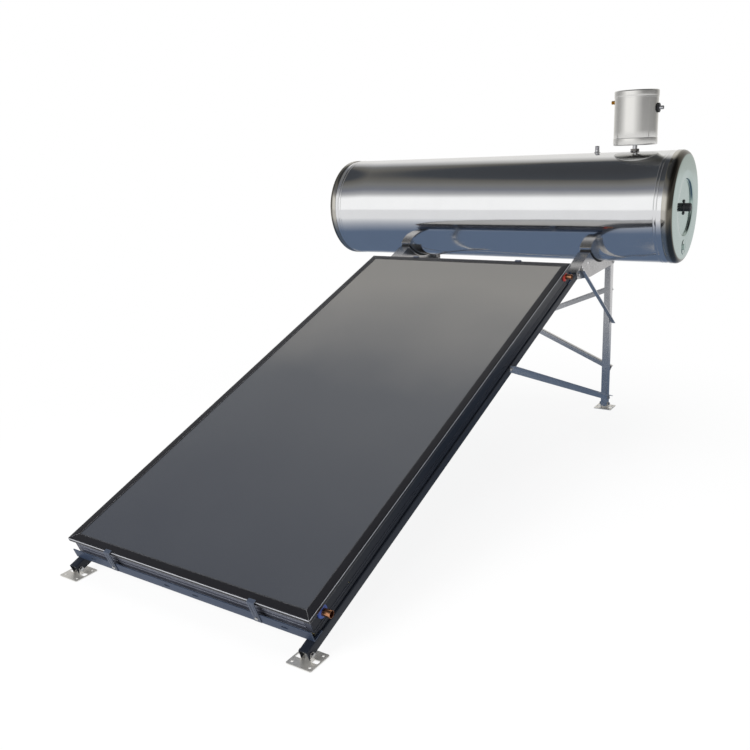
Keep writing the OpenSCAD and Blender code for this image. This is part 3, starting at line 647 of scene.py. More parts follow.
EDGES = {
    "right": (COLL_L, at(COLL_W / 2, 0, 0)),
    "left": (COLL_L, MIRROR_X @ at(COLL_W / 2, 0, 0)),
    "lower": (COLL_W, at(-COLL_W / 2, 0, 0) @ turn("Z", -90)),
    "upper": (COLL_W, HIGH_END @ at(-COLL_W / 2, 0, 0) @ turn("Z", -90)),
}
for word, (length, place) in EDGES.items():
    bezel("bezel_" + word, length, place)

# Rubber bead between the cover strips and the glass
bead_parts = []
for length, place in EDGES.values():
    lip = [(-BEZEL_W - u, v) for u, v in ((2.4, -2), (1.8, -0.5), (0.1, -0.5), (0.1, -2))]
    lip = fillet(lip, [0, 0.7, 0.3, 0], 3, closed=True)
    bead_parts.append((prism(lip, 0, length, (-1, 1)), place @ ALONG_Y))
piece("glass_seal_bead", merge(*bead_parts), "seal_rubber", SLOPE)

# Painted highlight: thin bright metal strips along the cover strips' folds stand in for the reflection on
# their rounded folds
for word, low, high in (("lower", -5.6, -1.6), ("right", -4.0, -1.8), ("left", -4.0, -1.8)):
    length, place = EDGES[word]
    strip = [(-0.3, low), (0.15, low + 0.4), (0.15, high - 0.4), (-0.3, high)]
    piece("bezel_painted_highlight_" + word, prism(strip, 2, length - 2), "painted_highlight_metal", SLOPE @ place @ ALONG_Y)


def wall_outline(ribs, inner):
    """Section of a side wall, x outwards with its outer face at 0, with small rolled ribs."""
    points = [(inner, -8), (inner, -6.2), (7.8, -6.2), (7.8, -8), (0, -8)]
    for h in ribs:
        points += [(0, h + 3.0), (1.1, h + 2.2), (1.3, h + 1.2), (1.1, h + 0.2), (0, h - 0.6)]
    low = -COLL_H
    return points + [(0, low + 1), (-1, low), (-14, low), (-14, low + 2), (-2, low + 2), (-2, -8)]


for side, word in SIDES:
    name = "frame_side_" + word
    vents = [across_hole(WALL_X - 10, (s, -58), 3) for s in (190, COLL_L - 190)]
    ports = [across_hole(WALL_X - 10, (s, HEADER_N), 15, steps=32) for s in HEADER_S]
    wall = prism(wall_outline([-20, -60, -70], -24), EDGE_IN, COLL_L - EDGE_IN)
    piece(name, merge((wall, at(WALL_X, 0, 0) @ ALONG_Y)), "frame_dark", SLOPE @ sided(side),
          cutters=vents + ports)

END_REACH = COLL_W / 2 - EDGE_IN - 24.2
for name, place in (("frame_end_lower", LOW_END), ("frame_end_upper", HIGH_END)):
    wall = [(EDGE_IN - u, v) for u, v in wall_outline([-18, -23.5, -29, -34.5, -40, -52, -68], -24)]
    parts = [(prism(wall, -END_REACH, END_REACH), ACROSS)]
    for side, _ in SIDES:
        near, far = EDGE_IN + 0.4, EDGE_IN + 2
        corner = fillet([(END_REACH, near), (WALL_X - 2.1, near), (WALL_X - 2.1, far), (END_REACH, far)],
                        0.4, 2, closed=True)
        parts.append((prism(corner, -68, -9), sided(side)))
    piece(name, merge(*parts), "end_wall", SLOPE @ place)

# Header pipes, with their stubs out through the side walls, and the grommets round them
for s, name in zip(HEADER_S, ("header_lower", "header_upper")):
    bore = HEADER_R - 0.9
    half = WALL_X + STUB_L
    free = WALL_X + STUB_IN
    end = [(HEADER_R - 0.2, free), (HEADER_R, free), (HEADER_R, half - 0.8), (HEADER_R - 0.35, half),
           (bore, half)]
    tube = [(r, -x) for r, x in reversed(end)] + end
    piece(name, hollow(tube), "copper", SLOPE @ at(0, s, HEADER_N) @ TO_X)

for s, word in zip(HEADER_S, ("blue", "red")):
    dome = [(10.9, -2), (14.9, -2), (14.9, 0.1), (20, 0.1), (20, 3.0), (19.2, 5.0), (17.4, 6.4),
            (15.5, 7.2), (13.2, 7.6), (11.6, 7.4), (10.9, 6.8)]
    parts = [(hollow(dome, 48), sided(side) @ at(WALL_X, s, HEADER_N) @ TO_X) for side, _ in SIDES]
    name = word + "_grommets"
    piece(name, merge(*parts), "grommet_" + word, SLOPE, sharp=40)

# ---- stand
PIVOT_N = RAIL_N - RAIL_W + 9
RAIL_START = (PIVOT_Z - LIP_H - PIVOT_N * math.cos(TILT)) / math.sin(TILT) - 13

for side, word in SIDES:
    name = "rail_" + word
    channel = bent_sheet([(-14, -30), (-14, -1), (14, -1), (14, -30)])
    cuts = [across_hole(side * RAIL_X - 20, (RAIL_START + 13, PIVOT_N), PIVOT_BORE, 40)]
    piece(name, merge((prism(channel, RAIL_START, RAIL_TOP), at(side * RAIL_X, 0, RAIL_N) @ ALONG_Y)),
          "rail_dark", SLOPE, cutters=cuts)

for name, place in (("cross_rail_lower", LOW_END), ("cross_rail_upper", HIGH_END)):
    angle = bent_sheet([(34, RAIL_N + 1.5), (-4.5, RAIL_N + 1.5), (-4.5, CROSS_TOP)], CROSS_T, 3.4, 5)
    cuts = [(prism(ring_of(0, 0, 3.5, 24, stretch=9), 0, 12), at(x, -2, RAIL_N + 20) @ turn("X", 90))
            for x in (-400, -60, 60, 400)]
    piece(name, merge((prism(angle, -CROSS_REACH, CROSS_REACH), ACROSS)), "cross_blue", SLOPE @ place,
          cutters=cuts)

# Clips on the cross rails that hook over the cover strips
HOOK = [(-7.2, RAIL_N + 6), (-7.2, 1.2), (5.8, 1.2)]
CLIP_ENDS = ((CLIP_X[0], LOW_END), (CLIP_X[1], HIGH_END))
for name, (clip_x, flip) in zip(("hook_clips_lower", "hook_clips_upper"), CLIP_ENDS):
    xs = (-clip_x, clip_x)
    parts = [(prism(bent_sheet(HOOK, 2, 2.6, 6), x - 13, x + 13), flip @ ACROSS) for x in xs]
    for x in xs:
        rib = [(-9.0, RAIL_N + 32), (-8.2, RAIL_N + 30), (-8.2, -6), (-9.0, -8)]
        rib = fillet(rib, 0.3, 2, closed=True)
        parts += [(prism(rib, x + d - 1.5, x + d + 1.5), flip @ ACROSS) for d in (-6, 6)]
    piece(name, merge(*parts), "clip_coat", SLOPE)

# Screws of the clips, and the rivets that hold the cross rails on the long ones
PAN_HEAD = [(0, 0), (6, 0), (6, 0.8), (5.4, 2.2), (4.0, 3.1), (1.4, 3.5), (1.2, 2.2), (0, 2.2)]
parts = []
for clip_x, flip in CLIP_ENDS:
    for x in (-clip_x, clip_x):
        parts.append((lathe(PAN_HEAD, 28), flip @ at(x, -8.3, RAIL_N + 20) @ turn("X", 90)))
        parts.append((lathe(thread(3, 0, 6.2, 1.0), 20), flip @ at(x, -2.1, RAIL_N + 20) @ turn("X", 90)))
piece("clip_screws", merge(*parts), "bolt_steel", SLOPE)

parts = []
for side, _ in SIDES:
    for s in (14, COLL_L - 14):
        for dx in (-7, 7):
            rivet = [(0, -2), (3, -2), (3, 2.4), (2.2, 2.9), (0, 3)]
            parts.append((lathe(rivet, 20), at(side * RAIL_X + dx, s, RAIL_N)))
piece("rail_rivets", merge(*parts), "bolt_steel", SLOPE)

# Rear legs, then the braces
for side, word in SIDES:
    name = "leg_" + word
    channel = bent_sheet([(-15, -19), (14, -19), (14, 19), (-15, 19)], 2, 2.8, 5)
    cuts = [(rod(3.2, 60), at(0, -30, z) @ turn("X", -90)) for z in (690, 660)]
    cuts.append(across_hole(-20, (0, PIVOT_Z), PIVOT_BORE, 40))
    piece(name, prism(channel, PIVOT_Z - 9, LEG_TOP), "stand_steel",
          SITE @ sided(side) @ at(RAIL_X, LEG_Y, 0), cutters=cuts)


def strut(p, q, reach, up):
    """Angle iron between two bolt centres (y, z), its flat side on the plane x = 0.

    Its other side reaches outwards, along the upper edge if up, or else along the lower one.
    """
    run = q - p
    sign = 1 if up else -1
    section = bent_sheet([(1, -13 * sign), (1, 12 * sign), (reach, 12 * sign)])
    body = prism(section, -14, run.length + 14)
    holes = [across_hole(-2, (s, 0), 4.2, 8) for s in (0, run.length)]
    place = at(0, p.x, p.y) @ turn("X", math.degrees(math.atan2(run.y, run.x)))
    return (body, place @ ALONG_Y), [(h, place @ m) for h, m in holes]


for side, word in SIDES:
    for name, p, q, off, up in (("side_brace_" + word, BRACE_FRONT, BRACE_REAR, 0.1, True),
                                ("knee_brace_" + word, KNEE_FRONT, KNEE_REAR, SADDLE_T + 0.2, False)):
        body, holes = strut(p, q, 20, up)
        place = SITE @ sided(side) @ at(RAIL_X + OUTER + off, 0, 0)
        piece(name, merge(body), "stand_steel", place, cutters=holes)

for name, z_left, z_right, off in (("rear_brace_a", CROSS_Z[1], CROSS_Z[0], 0.1),
                                   ("rear_brace_b", CROSS_Z[0], CROSS_Z[1], 20.4)):
    body, holes = strut(Vector((-RAIL_X, z_right)), Vector((RAIL_X, z_left)), 18, True)
    place = SITE @ at(0, LEG_Y + LEG_D / 2 + off, 0) @ turn("Z", 90)
    piece(name, merge(body), "stand_steel", place, cutters=holes)


def arc_point(angle, r):
    """Point round the tank's axis, as (y, z), at an angle in degrees."""
    return Vector(polar(r, math.radians(angle), TANK_Y, TANK_Z))


def arc_band(r1, r2, from_angle, to_angle, steps=36):
    angles = [from_angle + (to_angle - from_angle) * k / steps for k in range(steps + 1)]
    return [arc_point(a, r1) for a in angles] + [arc_point(a, r2) for a in reversed(angles)]


# Saddles: an upright web with a curved flange under the tank and straight ones at its edges
WEB_X = RAIL_X + OUTER + 0.1
FLANGE_X = WEB_X + SADDLE_T - SADDLE_W
SADDLE_FOOT = on_slope(2060, RAIL_N + 1.4)
SADDLE_NOSE = arc_point(ARC_FROM - 1.5, ARC_R + 3)
SADDLE_LOW = Vector((2142, 714))
SADDLE_TAIL = Vector((LEG_Y + 13, 730))
SADDLE_SLOT = Vector((2112, 782))
web = [on_slope(2058, RAIL_N - RAIL_W + 2), SADDLE_FOOT, SADDLE_NOSE]
web += [arc_point(ARC_FROM + 1 + (ARC_TO - ARC_FROM - 2) * k / 36, ARC_R - 1.2) for k in range(37)]
web += [Vector((LEG_Y + 13, LEG_TOP + 2)), SADDLE_TAIL, SADDLE_LOW]
slot_hole = [(p[0] + SADDLE_SLOT.x, p[1] + SADDLE_SLOT.y) for p in ring_of(0, 0, 4.5, 24, stretch=6)]
bolt_holes = [ring_of(p.x, p.y, 4.2) for p in (KNEE_FRONT, SADDLE_BOLT, LEG_BOLT)]
share = (LEG_Y - LEG_D / 2 - 1 - SADDLE_LOW.x) / (SADDLE_TAIL.x - SADDLE_LOW.x)
low_end = SADDLE_LOW.lerp(SADDLE_TAIL, share)


def flange(p, q, thickness, lift):
    """Outline of a flat strip from p to q in the Y-Z plane."""
    way = (q - p).normalized()
    up = Vector((-way.y, way.x))
    return fillet([p + up * lift, q + up * lift, q + up * (lift + thickness), p + up * (lift + thickness)],
                  0.6, 2, closed=True)


for side, word in SIDES:
    name = "saddle_" + word
    parts = [
        (plate(web, [slot_hole] + bolt_holes, SADDLE_T), at(WEB_X, 0, 0) @ ACROSS),
        (prism(arc_band(ARC_R - SADDLE_T, ARC_R, ARC_FROM, ARC_TO), FLANGE_X, WEB_X + 2.1), ACROSS),
        (prism(flange(SADDLE_FOOT, SADDLE_NOSE, SADDLE_T, -0.6), FLANGE_X, WEB_X + 2.1), ACROSS),
        (prism(flange(SADDLE_LOW, low_end, SADDLE_T, 0.2), FLANGE_X, WEB_X + 2.1), ACROSS),
    ]
    piece(name, merge(*parts), "saddle_steel", SITE @ sided(side))

# Ribbed rubber pads between the saddles and the tank
parts = []
for side, _ in SIDES:
    base = RAIL_X + OUTER - 46
    for k in range(4):
        strip = arc_band(TANK_R + 0.3, TANK_R + 0.3 + PAD_T, ARC_FROM, ARC_TO, 48)
        parts.append((prism(strip, base + k * 11.6, base + k * 11.6 + 11.0), sided(side) @ ACROSS))
    web_strip = arc_band(TANK_R + 1.3, TANK_R + PAD_T, ARC_FROM + 0.5, ARC_TO - 0.5, 48)
    parts.append((prism(web_strip, base + 0.5, base + 45.3), sided(side) @ ACROSS))
piece("saddle_pads", merge(*parts), "seal_rubber", SITE)


def bolt(grip, head=5.3, nut=6.8, tail=7.0):
    """Bolt along +X: washers, domed hexagon head beyond the grip, nut and thread before it."""
    shank = lathe(thread(BOLT_R, -tail, grip, 1.25, 0.5), 24)
    dome = lathe([(0, head), (4.6, head), (3.8, head + 0.25), (0, head + 0.35)], 24)
    return [
        (shank, TO_X),
        (hexagon(SPANNER, head), at(grip, 0, 0) @ TO_X),
        (dome, at(grip, 0, 0) @ TO_X),
        (hollow([(6.7, 0), (7.6, 0), (7.6, 0.7), (6.7, 0.7)], 28), at(grip, 0, 0) @ TO_X),
        (hexagon(SPANNER, nut), at(-tail, 0, 0) @ TO_X),
        (hollow([(4.2, 0), (7.4, 0), (7.4, 0.6), (4.2, 0.6)], 28), at(-tail + nut - 0.6, 0, 0) @ TO_X),
    ]


def placed(parts, matrix):
    return [(bm, matrix @ m) for bm, m in parts]


parts = []
inside = RAIL_X + OUTER - 2.1
for side, _ in SIDES:
    for p, grip in ((BRACE_FRONT, 4.4), (BRACE_REAR, 4.4), (KNEE_FRONT, 7.1), (KNEE_REAR, 7.1),
                    (SADDLE_BOLT, 4.9), (LEG_BOLT, 4.9)):
        parts += placed(bolt(grip), sided(side) @ at(inside, p.x, p.y))
    for z, grip in zip(CROSS_Z[::side], (4.4, 24.8)):
        parts += placed(bolt(grip), at(side * RAIL_X, LEG_Y + LEG_D / 2 - 2.1, z) @ turn("Z", 90))
piece("frame_bolts", merge(*parts), "bolt_steel", SITE, sharp=28)

EAR_X = OUTER + 1
EAR_T = 2.5
EAR_R = 8
parts = []
for side, _ in SIDES:
    for p in (FOOT_FRONT, FOOT_REAR):
        reach = EAR_X + EAR_T + 0.4
        parts += placed(bolt(2 * reach, tail=6.8), at(side * RAIL_X - reach, p.x, p.y))
piece("pivot_bolts", merge(*parts), "bolt_steel", SITE, sharp=28)

# Foot plates: each has two ears bent up out of its own windows
FOOT_T = 3
HOLE_AT = 30
for name, side, p in (("foot_front_left", -1, FOOT_FRONT), ("foot_front_right", 1, FOOT_FRONT),
                      ("foot_rear_left", -1, FOOT_REAR), ("foot_rear_right", 1, FOOT_REAR)):
    h = FOOT_W / 2
    outline = fillet([(-h, -h), (h, -h), (h, h), (-h, h)], 5, 6, closed=True)
    holes = [ring_of(u * HOLE_AT, v * HOLE_AT, 4) for u in (-1, 1) for v in (-1, 1)]
    for e in (-1, 1):
        near = EAR_X + EAR_T + 0.2
        far = near + 19.6
        window = [(e * near, -EAR_R), (e * far, -EAR_R), (e * far, EAR_R), (e * near, EAR_R)]
        holes.append(fillet(window, [0.5, 3, 3, 0.5], 3, closed=True))
    parts = [(plate(outline, holes, FOOT_T), HERE)]
    for e in (-1, 1):
        tab = [(-EAR_R, 1.0), (EAR_R, 1.0)]
        arch = [math.pi * k / 18 for k in range(19)]
        tab += [polar(EAR_R, a, 0, PIVOT_Z) for a in arch]
        ear = plate(tab, [ring_of(0, PIVOT_Z, 4.06)], EAR_T)
        x0 = EAR_X if e > 0 else -EAR_X - EAR_T
        parts.append((ear, at(x0, 0, 0) @ ACROSS))
        fold = ((0.1, -0.5), (0.1, 2.2), (-0.15, 1.0), (-0.85, 0.2), (-2.4, -0.2), (-2.4, -0.5))
        bend = [(e * (EAR_X + dx), FOOT_T + dz) for dx, dz in fold]
        parts.append((prism(bend, -EAR_R, EAR_R), ALONG_Y))
    piece(name, merge(*parts), "foot_steel", SITE @ at(side * RAIL_X, p.x, 0), body=name)

# ---- tank
TANK_AXIS = SITE @ at(TANK_MID, TANK_Y, TANK_Z) @ TO_X
BEAD_INSETS = (62, 74)


def bead(z, height=1.0, width=5.0):
    """Rolled bead of the casing at height z, from low to high."""
    return [(TANK_R + height * (1 + math.cos(t)) / 2, z + width * t / (2 * math.pi))
            for t in [math.pi * (k / 4 - 1) for k in range(9)]]


shell_end = HALF_L - CAP_ROUND - 0.2
profile = [(TANK_R - 1, -shell_end), (TANK_R, -shell_end)]
for inset in BEAD_INSETS:
    profile += bead(inset - HALF_L)
profile += [(TANK_R, k * 110) for k in range(-6, 7)]
for inset in reversed(BEAD_INSETS):
    profile += bead(HALF_L - inset)
profile += [(TANK_R, shell_end), (TANK_R - 1, shell_end)]
holes = [(rod(10.5, 60, 32), at(30 - TANK_R, 0, x - TANK_MID) @ turn("Y", -90)) for x in (VENT_X, FEED_X)]
piece("tank_shell", hollow(profile, 160), "tank_polished", TANK_AXIS, sharp=50, cutters=holes)

# Lap seam along the casing's back, below its middle
seam = [(TANK_R, a) for a in (56, 58, 60, 62)] + [(TANK_R + 0.9, a) for a in (62, 60, 58, 56)]
seam = [polar(r, math.radians(a)) for r, a in seam]
piece("tank_lap_seam", prism(seam, -HALF_L + 80, HALF_L - 80), "tank_polished", TANK_AXIS, sharp=20)

CAP_R = TANK_R + 2
CAP_T = 1.5
DISH_R = 121
DISH_D = 9
LUG_Z = 26
PORT_R = 13
PORTS = ((95, DISH_D), (-150, 0))  # Each loop port's height, and how deep it is sunk
flat_r = CAP_R - CAP_ROUND


def cap_profile():
    """Pressed cap, its outer face at height 0: rolled rim, rounded edge and a dish in the middle."""
    outer = [(CAP_R, -CAP_SKIRT + 1.5), (CAP_R, -CAP_ROUND)]
    outer += [polar(CAP_ROUND, math.pi / 2 * k / 12, flat_r, -CAP_ROUND) for k in range(1, 13)]
    step = [(5.5, 0), (3.6, -0.4), (2.0, -1.5), (1.1, -3.2), (0.4, -5.8), (-0.7, -7.6), (-2.4, -8.6),
            (-4.5, -9)]
    face = [(200, 0), (160, 0)] + [(DISH_R + r, z) for r, z in step] + [(80, -DISH_D), (20, -DISH_D)]
    back = [(-5, -1.5), (-1.5, -1.1), (0.6, 0.6), (1.7, 3.6), (2.6, 6.4), (5.5, 7.5)]
    inner = [(20, -DISH_D - CAP_T)] + [(DISH_R + r, z - DISH_D) for r, z in back] + [(flat_r, -CAP_T)]
    inner += [polar(CAP_ROUND - CAP_T, math.pi / 2 * k / 8, flat_r, -CAP_ROUND) for k in range(7, -1, -1)]
    inner += [(TANK_R + 0.1, -CAP_ROUND - 0.4), (TANK_R + 0.1, -CAP_SKIRT), (CAP_R - 0.7, -CAP_SKIRT)]
    return outer + face + inner


for side, word in SIDES:
    name = "tank_cap_" + word
    cuts = []
    if side < 0:
        cuts = [(rod(PORT_R + 0.5, 40, 40), at(-z, 0, -20)) for z, _ in PORTS]
    disc = lathe([(0, -1.0), (20.05, -1.0), (20.05, 0), (19.8, 0.05), (0, 0.05)], 48)
    cap = merge((hollow(cap_profile(), 128), HERE), (disc, at(0, 0, -DISH_D)))
    place = SITE @ at(TANK_RIGHT if side > 0 else TANK_LEFT, TANK_Y, TANK_Z) @ sided(side) @ TO_X
    piece(name, cap, "cap_polished", place, sharp=45, cutters=cuts)

PLATE_Z = -172
cover = [(0, 0), (33, 0), (33, 0.8), (31.6, 1.7), (29, 1.9), (27.5, 1.3), (0, 1.3)]
slot_bar = fillet([(-3, -13), (3, -13), (3, 13), (-3, 13)], 2.9, 4, closed=True)
piece("anode_cover_plate",
      merge((lathe(cover, 56), at(0.1, 0, 0) @ TO_X), (prism(slot_bar, 1.2, 2.6), ACROSS)),
      "cap_polished", SITE @ at(TANK_RIGHT, TANK_Y, TANK_Z + PLATE_Z), sharp=40)

# Heater cover: ribbed moulded cap on a flange with two screw lugs
COVER_OUT = 24
COVER_H = COVER_OUT + DISH_D
barrel = [(r, COVER_H - drop) for r, drop in ((0, 0.2), (10, 0.2), (14.2, 0.8), (16.6, 2.4), (18.4, 4.6))]
for k in range(3):
    z = COVER_H - 7 - k * 7
    barrel += [(18.4, z), (17.7, z - 0.8), (17.7, z - 2.2), (18.4, z - 3)]
barrel += [(18.4, 5.6), (18.9, 4.4), (20.0, 3.8), (20.0, 0.2), (0, 0.2)]
lug = [(2.1, 0.2), (6.8, 0.2), (6.8, 3.2), (6.2, 3.9), (2.1, 3.9)]
lugs = [(hollow(lug, 32), at(z, 0, 0)) for z in (-LUG_Z, LUG_Z)]
in_dish = SITE @ at(TANK_RIGHT - DISH_D, TANK_Y, TANK_Z) @ TO_X
piece("heater_cover", merge((lathe(barrel[::-1], 56), HERE), *lugs), "heater_black", in_dish, sharp=40)

screw = [(0, -8), (2, -8), (2, 4.2), (4, 4.2), (4, 5.4), (3.2, 6.5), (1.2, 6.8), (0, 6.0)]
parts = [(lathe(screw, 24), at(z, 0, 0)) for z in (-LUG_Z, LUG_Z)]
piece("cap_screws", merge(*parts), "bolt_steel", in_dish)


def threaded_tube(r, bore, a, b, start, pitch=1.8):
    """Closed tube profile, plain up to the height start and threaded from there to b."""
    profile = [(bore, a), (r - 0.2, a), (r - 0.2, start), (r, start)]
    z = start + 2.5
    while z + pitch < b - 1.5:
        profile += [(r, z + pitch * 0.3), (r - 0.9, z + pitch * 0.8)]
        z += pitch
    return profile + [(r, b - 1.2), (r - 0.9, b), (bore + 0.3, b), (bore, b - 0.4)]


# Pipe stubs: the collector loop's at the left end, the vent and the feed pipe on top
left_ports = [(hollow(threaded_tube(PORT_R, 11, -58, 30, 0.6)),
               at(TANK_LEFT, TANK_Y, TANK_Z + z) @ turn("Y", -90)) for z, _ in PORTS]
washer = [(13.2, 0.2), (20, 0.2), (20, 1.6), (19, 2.4), (13.2, 2.4)]
washers = [(hollow(washer), at(TANK_LEFT + sunk, TANK_Y, TANK_Z + z) @ turn("Y", -90)) for z, sunk in PORTS]
piece("loop_ports", merge(*left_ports), "brass", SITE, replaces=("tank_nipples",))
piece("loop_port_seals", merge(*washers), "seal_rubber", SITE)

TANK_TOP = TANK_Z + TANK_R
vent = threaded_tube(10, 8, -56, 30, 9, 1.6)
collar = [(10.0, 0.3), (14.5, 0.3), (14.5, 1.2), (12.5, 2.2), (11.2, 5.0), (10.0, 5.6)]
piece("vent_nipple", merge((hollow(vent), HERE), (hollow(collar), HERE)), "chrome_fitting",
      SITE @ at(VENT_X, TANK_Y, TANK_TOP), sharp=30)

GAP = FEED_Z - TANK_TOP
pipe_profile = [(8, -56), (10, -56), (10, GAP + 6), (8, GAP + 6)]
washer = [(10.05, 0.2), (21, 0.2), (20.2, 1.4), (10.05, 1.8)]
piece("feed_pipe", merge((hollow(pipe_profile), HERE), (hollow(washer, 48), HERE)), "chrome_fitting",
      SITE @ at(FEED_X, TANK_Y, TANK_TOP))
piece("feed_pipe_nut", hexagon(33, 10, 1.2), "nut_dark", SITE @ at(FEED_X, TANK_Y, TANK_TOP + 1.9),
      sharp=28)

# ---- feed tank
FEED_AXIS = SITE @ at(FEED_X, TANK_Y, 0)
BAND_H = 31
FITTING_HEX = 20.8


def around(r, z, offsets):
    """Profile points given as offsets from a radius and a height."""
    return [(r + dr, z + dz) for dr, dz in offsets]


body_profile = [(10.1, FEED_Z + 1), (10.1, FEED_Z + 0.05)]
body_profile += around(FEED_R, FEED_Z, ((-5, 0.05), (-1.2, 0.9), (0.5, 2.8), (1, 5.5)))
body_profile += around(FEED_R, FEED_Z + BAND_H, ((1, -3), (0.9, -1.2), (0.3, -0.3), (-0.2, 0.4), (0, 1.6)))
body_profile += [(FEED_R, FEED_Z + BAND_H + 1.6 + k * 30) for k in range(1, 7)]
body_profile += around(FEED_R, FEED_Z + FEED_H, ((0, -0.6), (-0.5, 0), (-1, -0.6)))
body_profile += around(FEED_R, FEED_Z, ((-1, 4), (-3, 1.4), (-6, 1)))
openings = ((-FEED_R, INLET_Z), (FEED_R, OVERFLOW_Z))
cuts = [across_hole(x - 10, (0, z), 8.1, steps=32) for x, z in openings]
piece("feed_body", hollow(body_profile, 128), "feed_satin", FEED_AXIS, sharp=40, cutters=cuts)
seam = [(u, FEED_R + lift) for u, lift in ((-2.2, -0.6), (2.2, -0.6), (2.2, 0.35), (0, 0.5), (-2.2, 0.35))]
piece("feed_weld_seam", merge((prism(seam, FEED_Z + BAND_H + 2, LID_LOW - 1), turn("Z", -128))),
      "feed_satin", FEED_AXIS, sharp=25)

LID_R = FEED_R + 1.6
lid_profile = around(FEED_R, LID_LOW, ((0.4, 0.6), (0.7, 0.1)))
lid_profile += around(LID_R, LID_LOW, ((-0.3, 0), (0, 0.9), (-0.5, 2.4), (-0.4, 5), (0, 8)))
lid_profile += around(LID_R, LID_TOP, ((0, -6), (-0.5, -3.2), (-2.0, -1.2), (-4.6, -0.3), (-7, 0)))
lid_profile += around(LID_R, LID_TOP, ((-9, -0.5), (-11, -1.3)))
lid_profile += around(0, LID_TOP, ((60, -1.2), (30, -1.0), (0, -1.0), (0, -2.6), (60, -2.8)))
lid_profile += around(FEED_R, LID_TOP, ((-10.4, -3.0), (-3, -2.95), (0.4, -3.0)))
piece("feed_lid", lathe(lid_profile, 128), "feed_satin", FEED_AXIS, body="lid", sharp=40)

# Float valve: threaded inlet through the wall with its fork inside
inlet = [(3.06, -17), (6.9, -17), (8, -15.8)]
z = -15.8
while z < -5:
    inlet += [(8, z + 0.5), (7.2, z + 1.2)]
    z += 1.4
inlet += [(8, -3.2), (11.4, -3.1), (11.4, -0.1), (8, -0.1), (8, 2.2), (8, 20), (3.06, 20)]
valve = at(-FEED_R, 0, INLET_Z)
PIVOT_IN = 32
PIVOT_DOWN = 14
parts = [(hollow(inlet), valve @ TO_X), (hexagon(FITTING_HEX, 5), valve @ at(2.2, 0, 0) @ TO_X)]
for dy in (-7, 4):
    cheek = fillet([(18, -20), (38, -20), (38, 4), (18, 4)], [3, 6, 2, 0], 3, closed=True)
    parts.append((merge((prism(cheek, 0, 3), ALONG_Y)), valve @ at(0, dy, 0)))
parts.append((rod(1.9, 18), valve @ at(PIVOT_IN, -9, -PIVOT_DOWN) @ turn("X", -90)))
piece("feed_inlet", merge(*parts), "brass", FEED_AXIS)

outlet = at(FEED_R, 0, OVERFLOW_Z) @ TO_X
spout = [(6, -8), (8, -8), (8, 23), (7.4, 24), (6.4, 24), (6, 23.4)]
nut = hexagon(FITTING_HEX, 5.7)
piece("feed_overflow", merge((hollow(spout), outlet), (nut, outlet @ at(0, 0, -7.9))), "chrome_fitting",
      FEED_AXIS)
knurl = []
for k in range(36):
    knurl.append(polar(20.0 if k % 3 else 18.2, 2 * math.pi * k / 36))
collar = [(8.05, 7.2), (17.5, 7.2), (16.5, 8.0), (8.05, 8.0)]
piece("overflow_nut", merge((prism(knurl, 0.3, 7.2), outlet), (hollow(collar), outlet)), "nut_black",
      FEED_AXIS, sharp=25)

# Float on its arm, with a seam round the ball
DROP = 30
hang = valve @ at(PIVOT_IN, 0, -PIVOT_DOWN) @ turn("Y", DROP)
BALL_AT = 84
BALL_R = 26
ball = [polar(BALL_R, math.pi * (k / 24 - 0.5)) for k in range(25)]
seam_ring = around(BALL_R, 0, ((-0.6, -1.0), (-0.05, -0.8), (0, 0), (-0.05, 0.8), (-0.6, 1.0)))
arm = fillet([(0, -2.2), (0, 2.2), (60, 2.2), (60, -2.2)], 0.8, 3, closed=True)
lever = fillet([(-3, 0), (3, 0), (3, 16), (-3, 16)], [0, 0, 2.5, 2.5], 4, closed=True)
hub = [(2.05, -3.5), (4.9, -3.5), (4.9, 3.5), (2.05, 3.5)]
parts = [
    (lathe(ball, 40), hang @ at(BALL_AT, 0, 0)),
    (hollow(seam_ring), hang @ at(BALL_AT, 0, 0)),
    (merge((prism(arm, -2.5, 2.5), ALONG_Y)), hang),
    (hollow(hub, 32), hang @ turn("X", -90)),
    (merge((prism(lever, -2.5, 2.5), ALONG_Y)), hang),
]
piece("float_arm", merge(*parts), "brass", FEED_AXIS, body="float")

# ---- CAD nodes that are shown as they are
for slot, names in {
    "collector_glass": ("glass_cover",),
    "seal_rubber": ("glass_gasket",),
    "absorber_black": ("absorber_plate",),
    "copper": ("riser_tubes", "heating_element"),
    "mineral_wool": ("collector_insulation",),
    "sheet_zinc": ("back_sheet",),
    "foam": ("tank_foam",),
    "inner_steel": ("inner_tank", "valve_plunger"),
    "anode_metal": ("anode_rod",),
}.items():
    for name in names:
        slots = NODES[name].material_slots
        for entry in slots:
            entry.material = M[slot]
        if not slots:
            NODES[name].data.materials.append(M[slot])

# ---- stage and light
REACH = 30
MIDDLE = (0, 0.1, 0.6)
SQUASH = (0.35, 1, 1)
TANK_SPOT = SITE_ORIGIN + Vector((TANK_MID, TANK_Y, 0)) * MM
BLUE_FLOOR = (0.105, 0.145, 0.22, 1)
FAR_FLOOR = (0.78, 0.78, 0.79, 1)


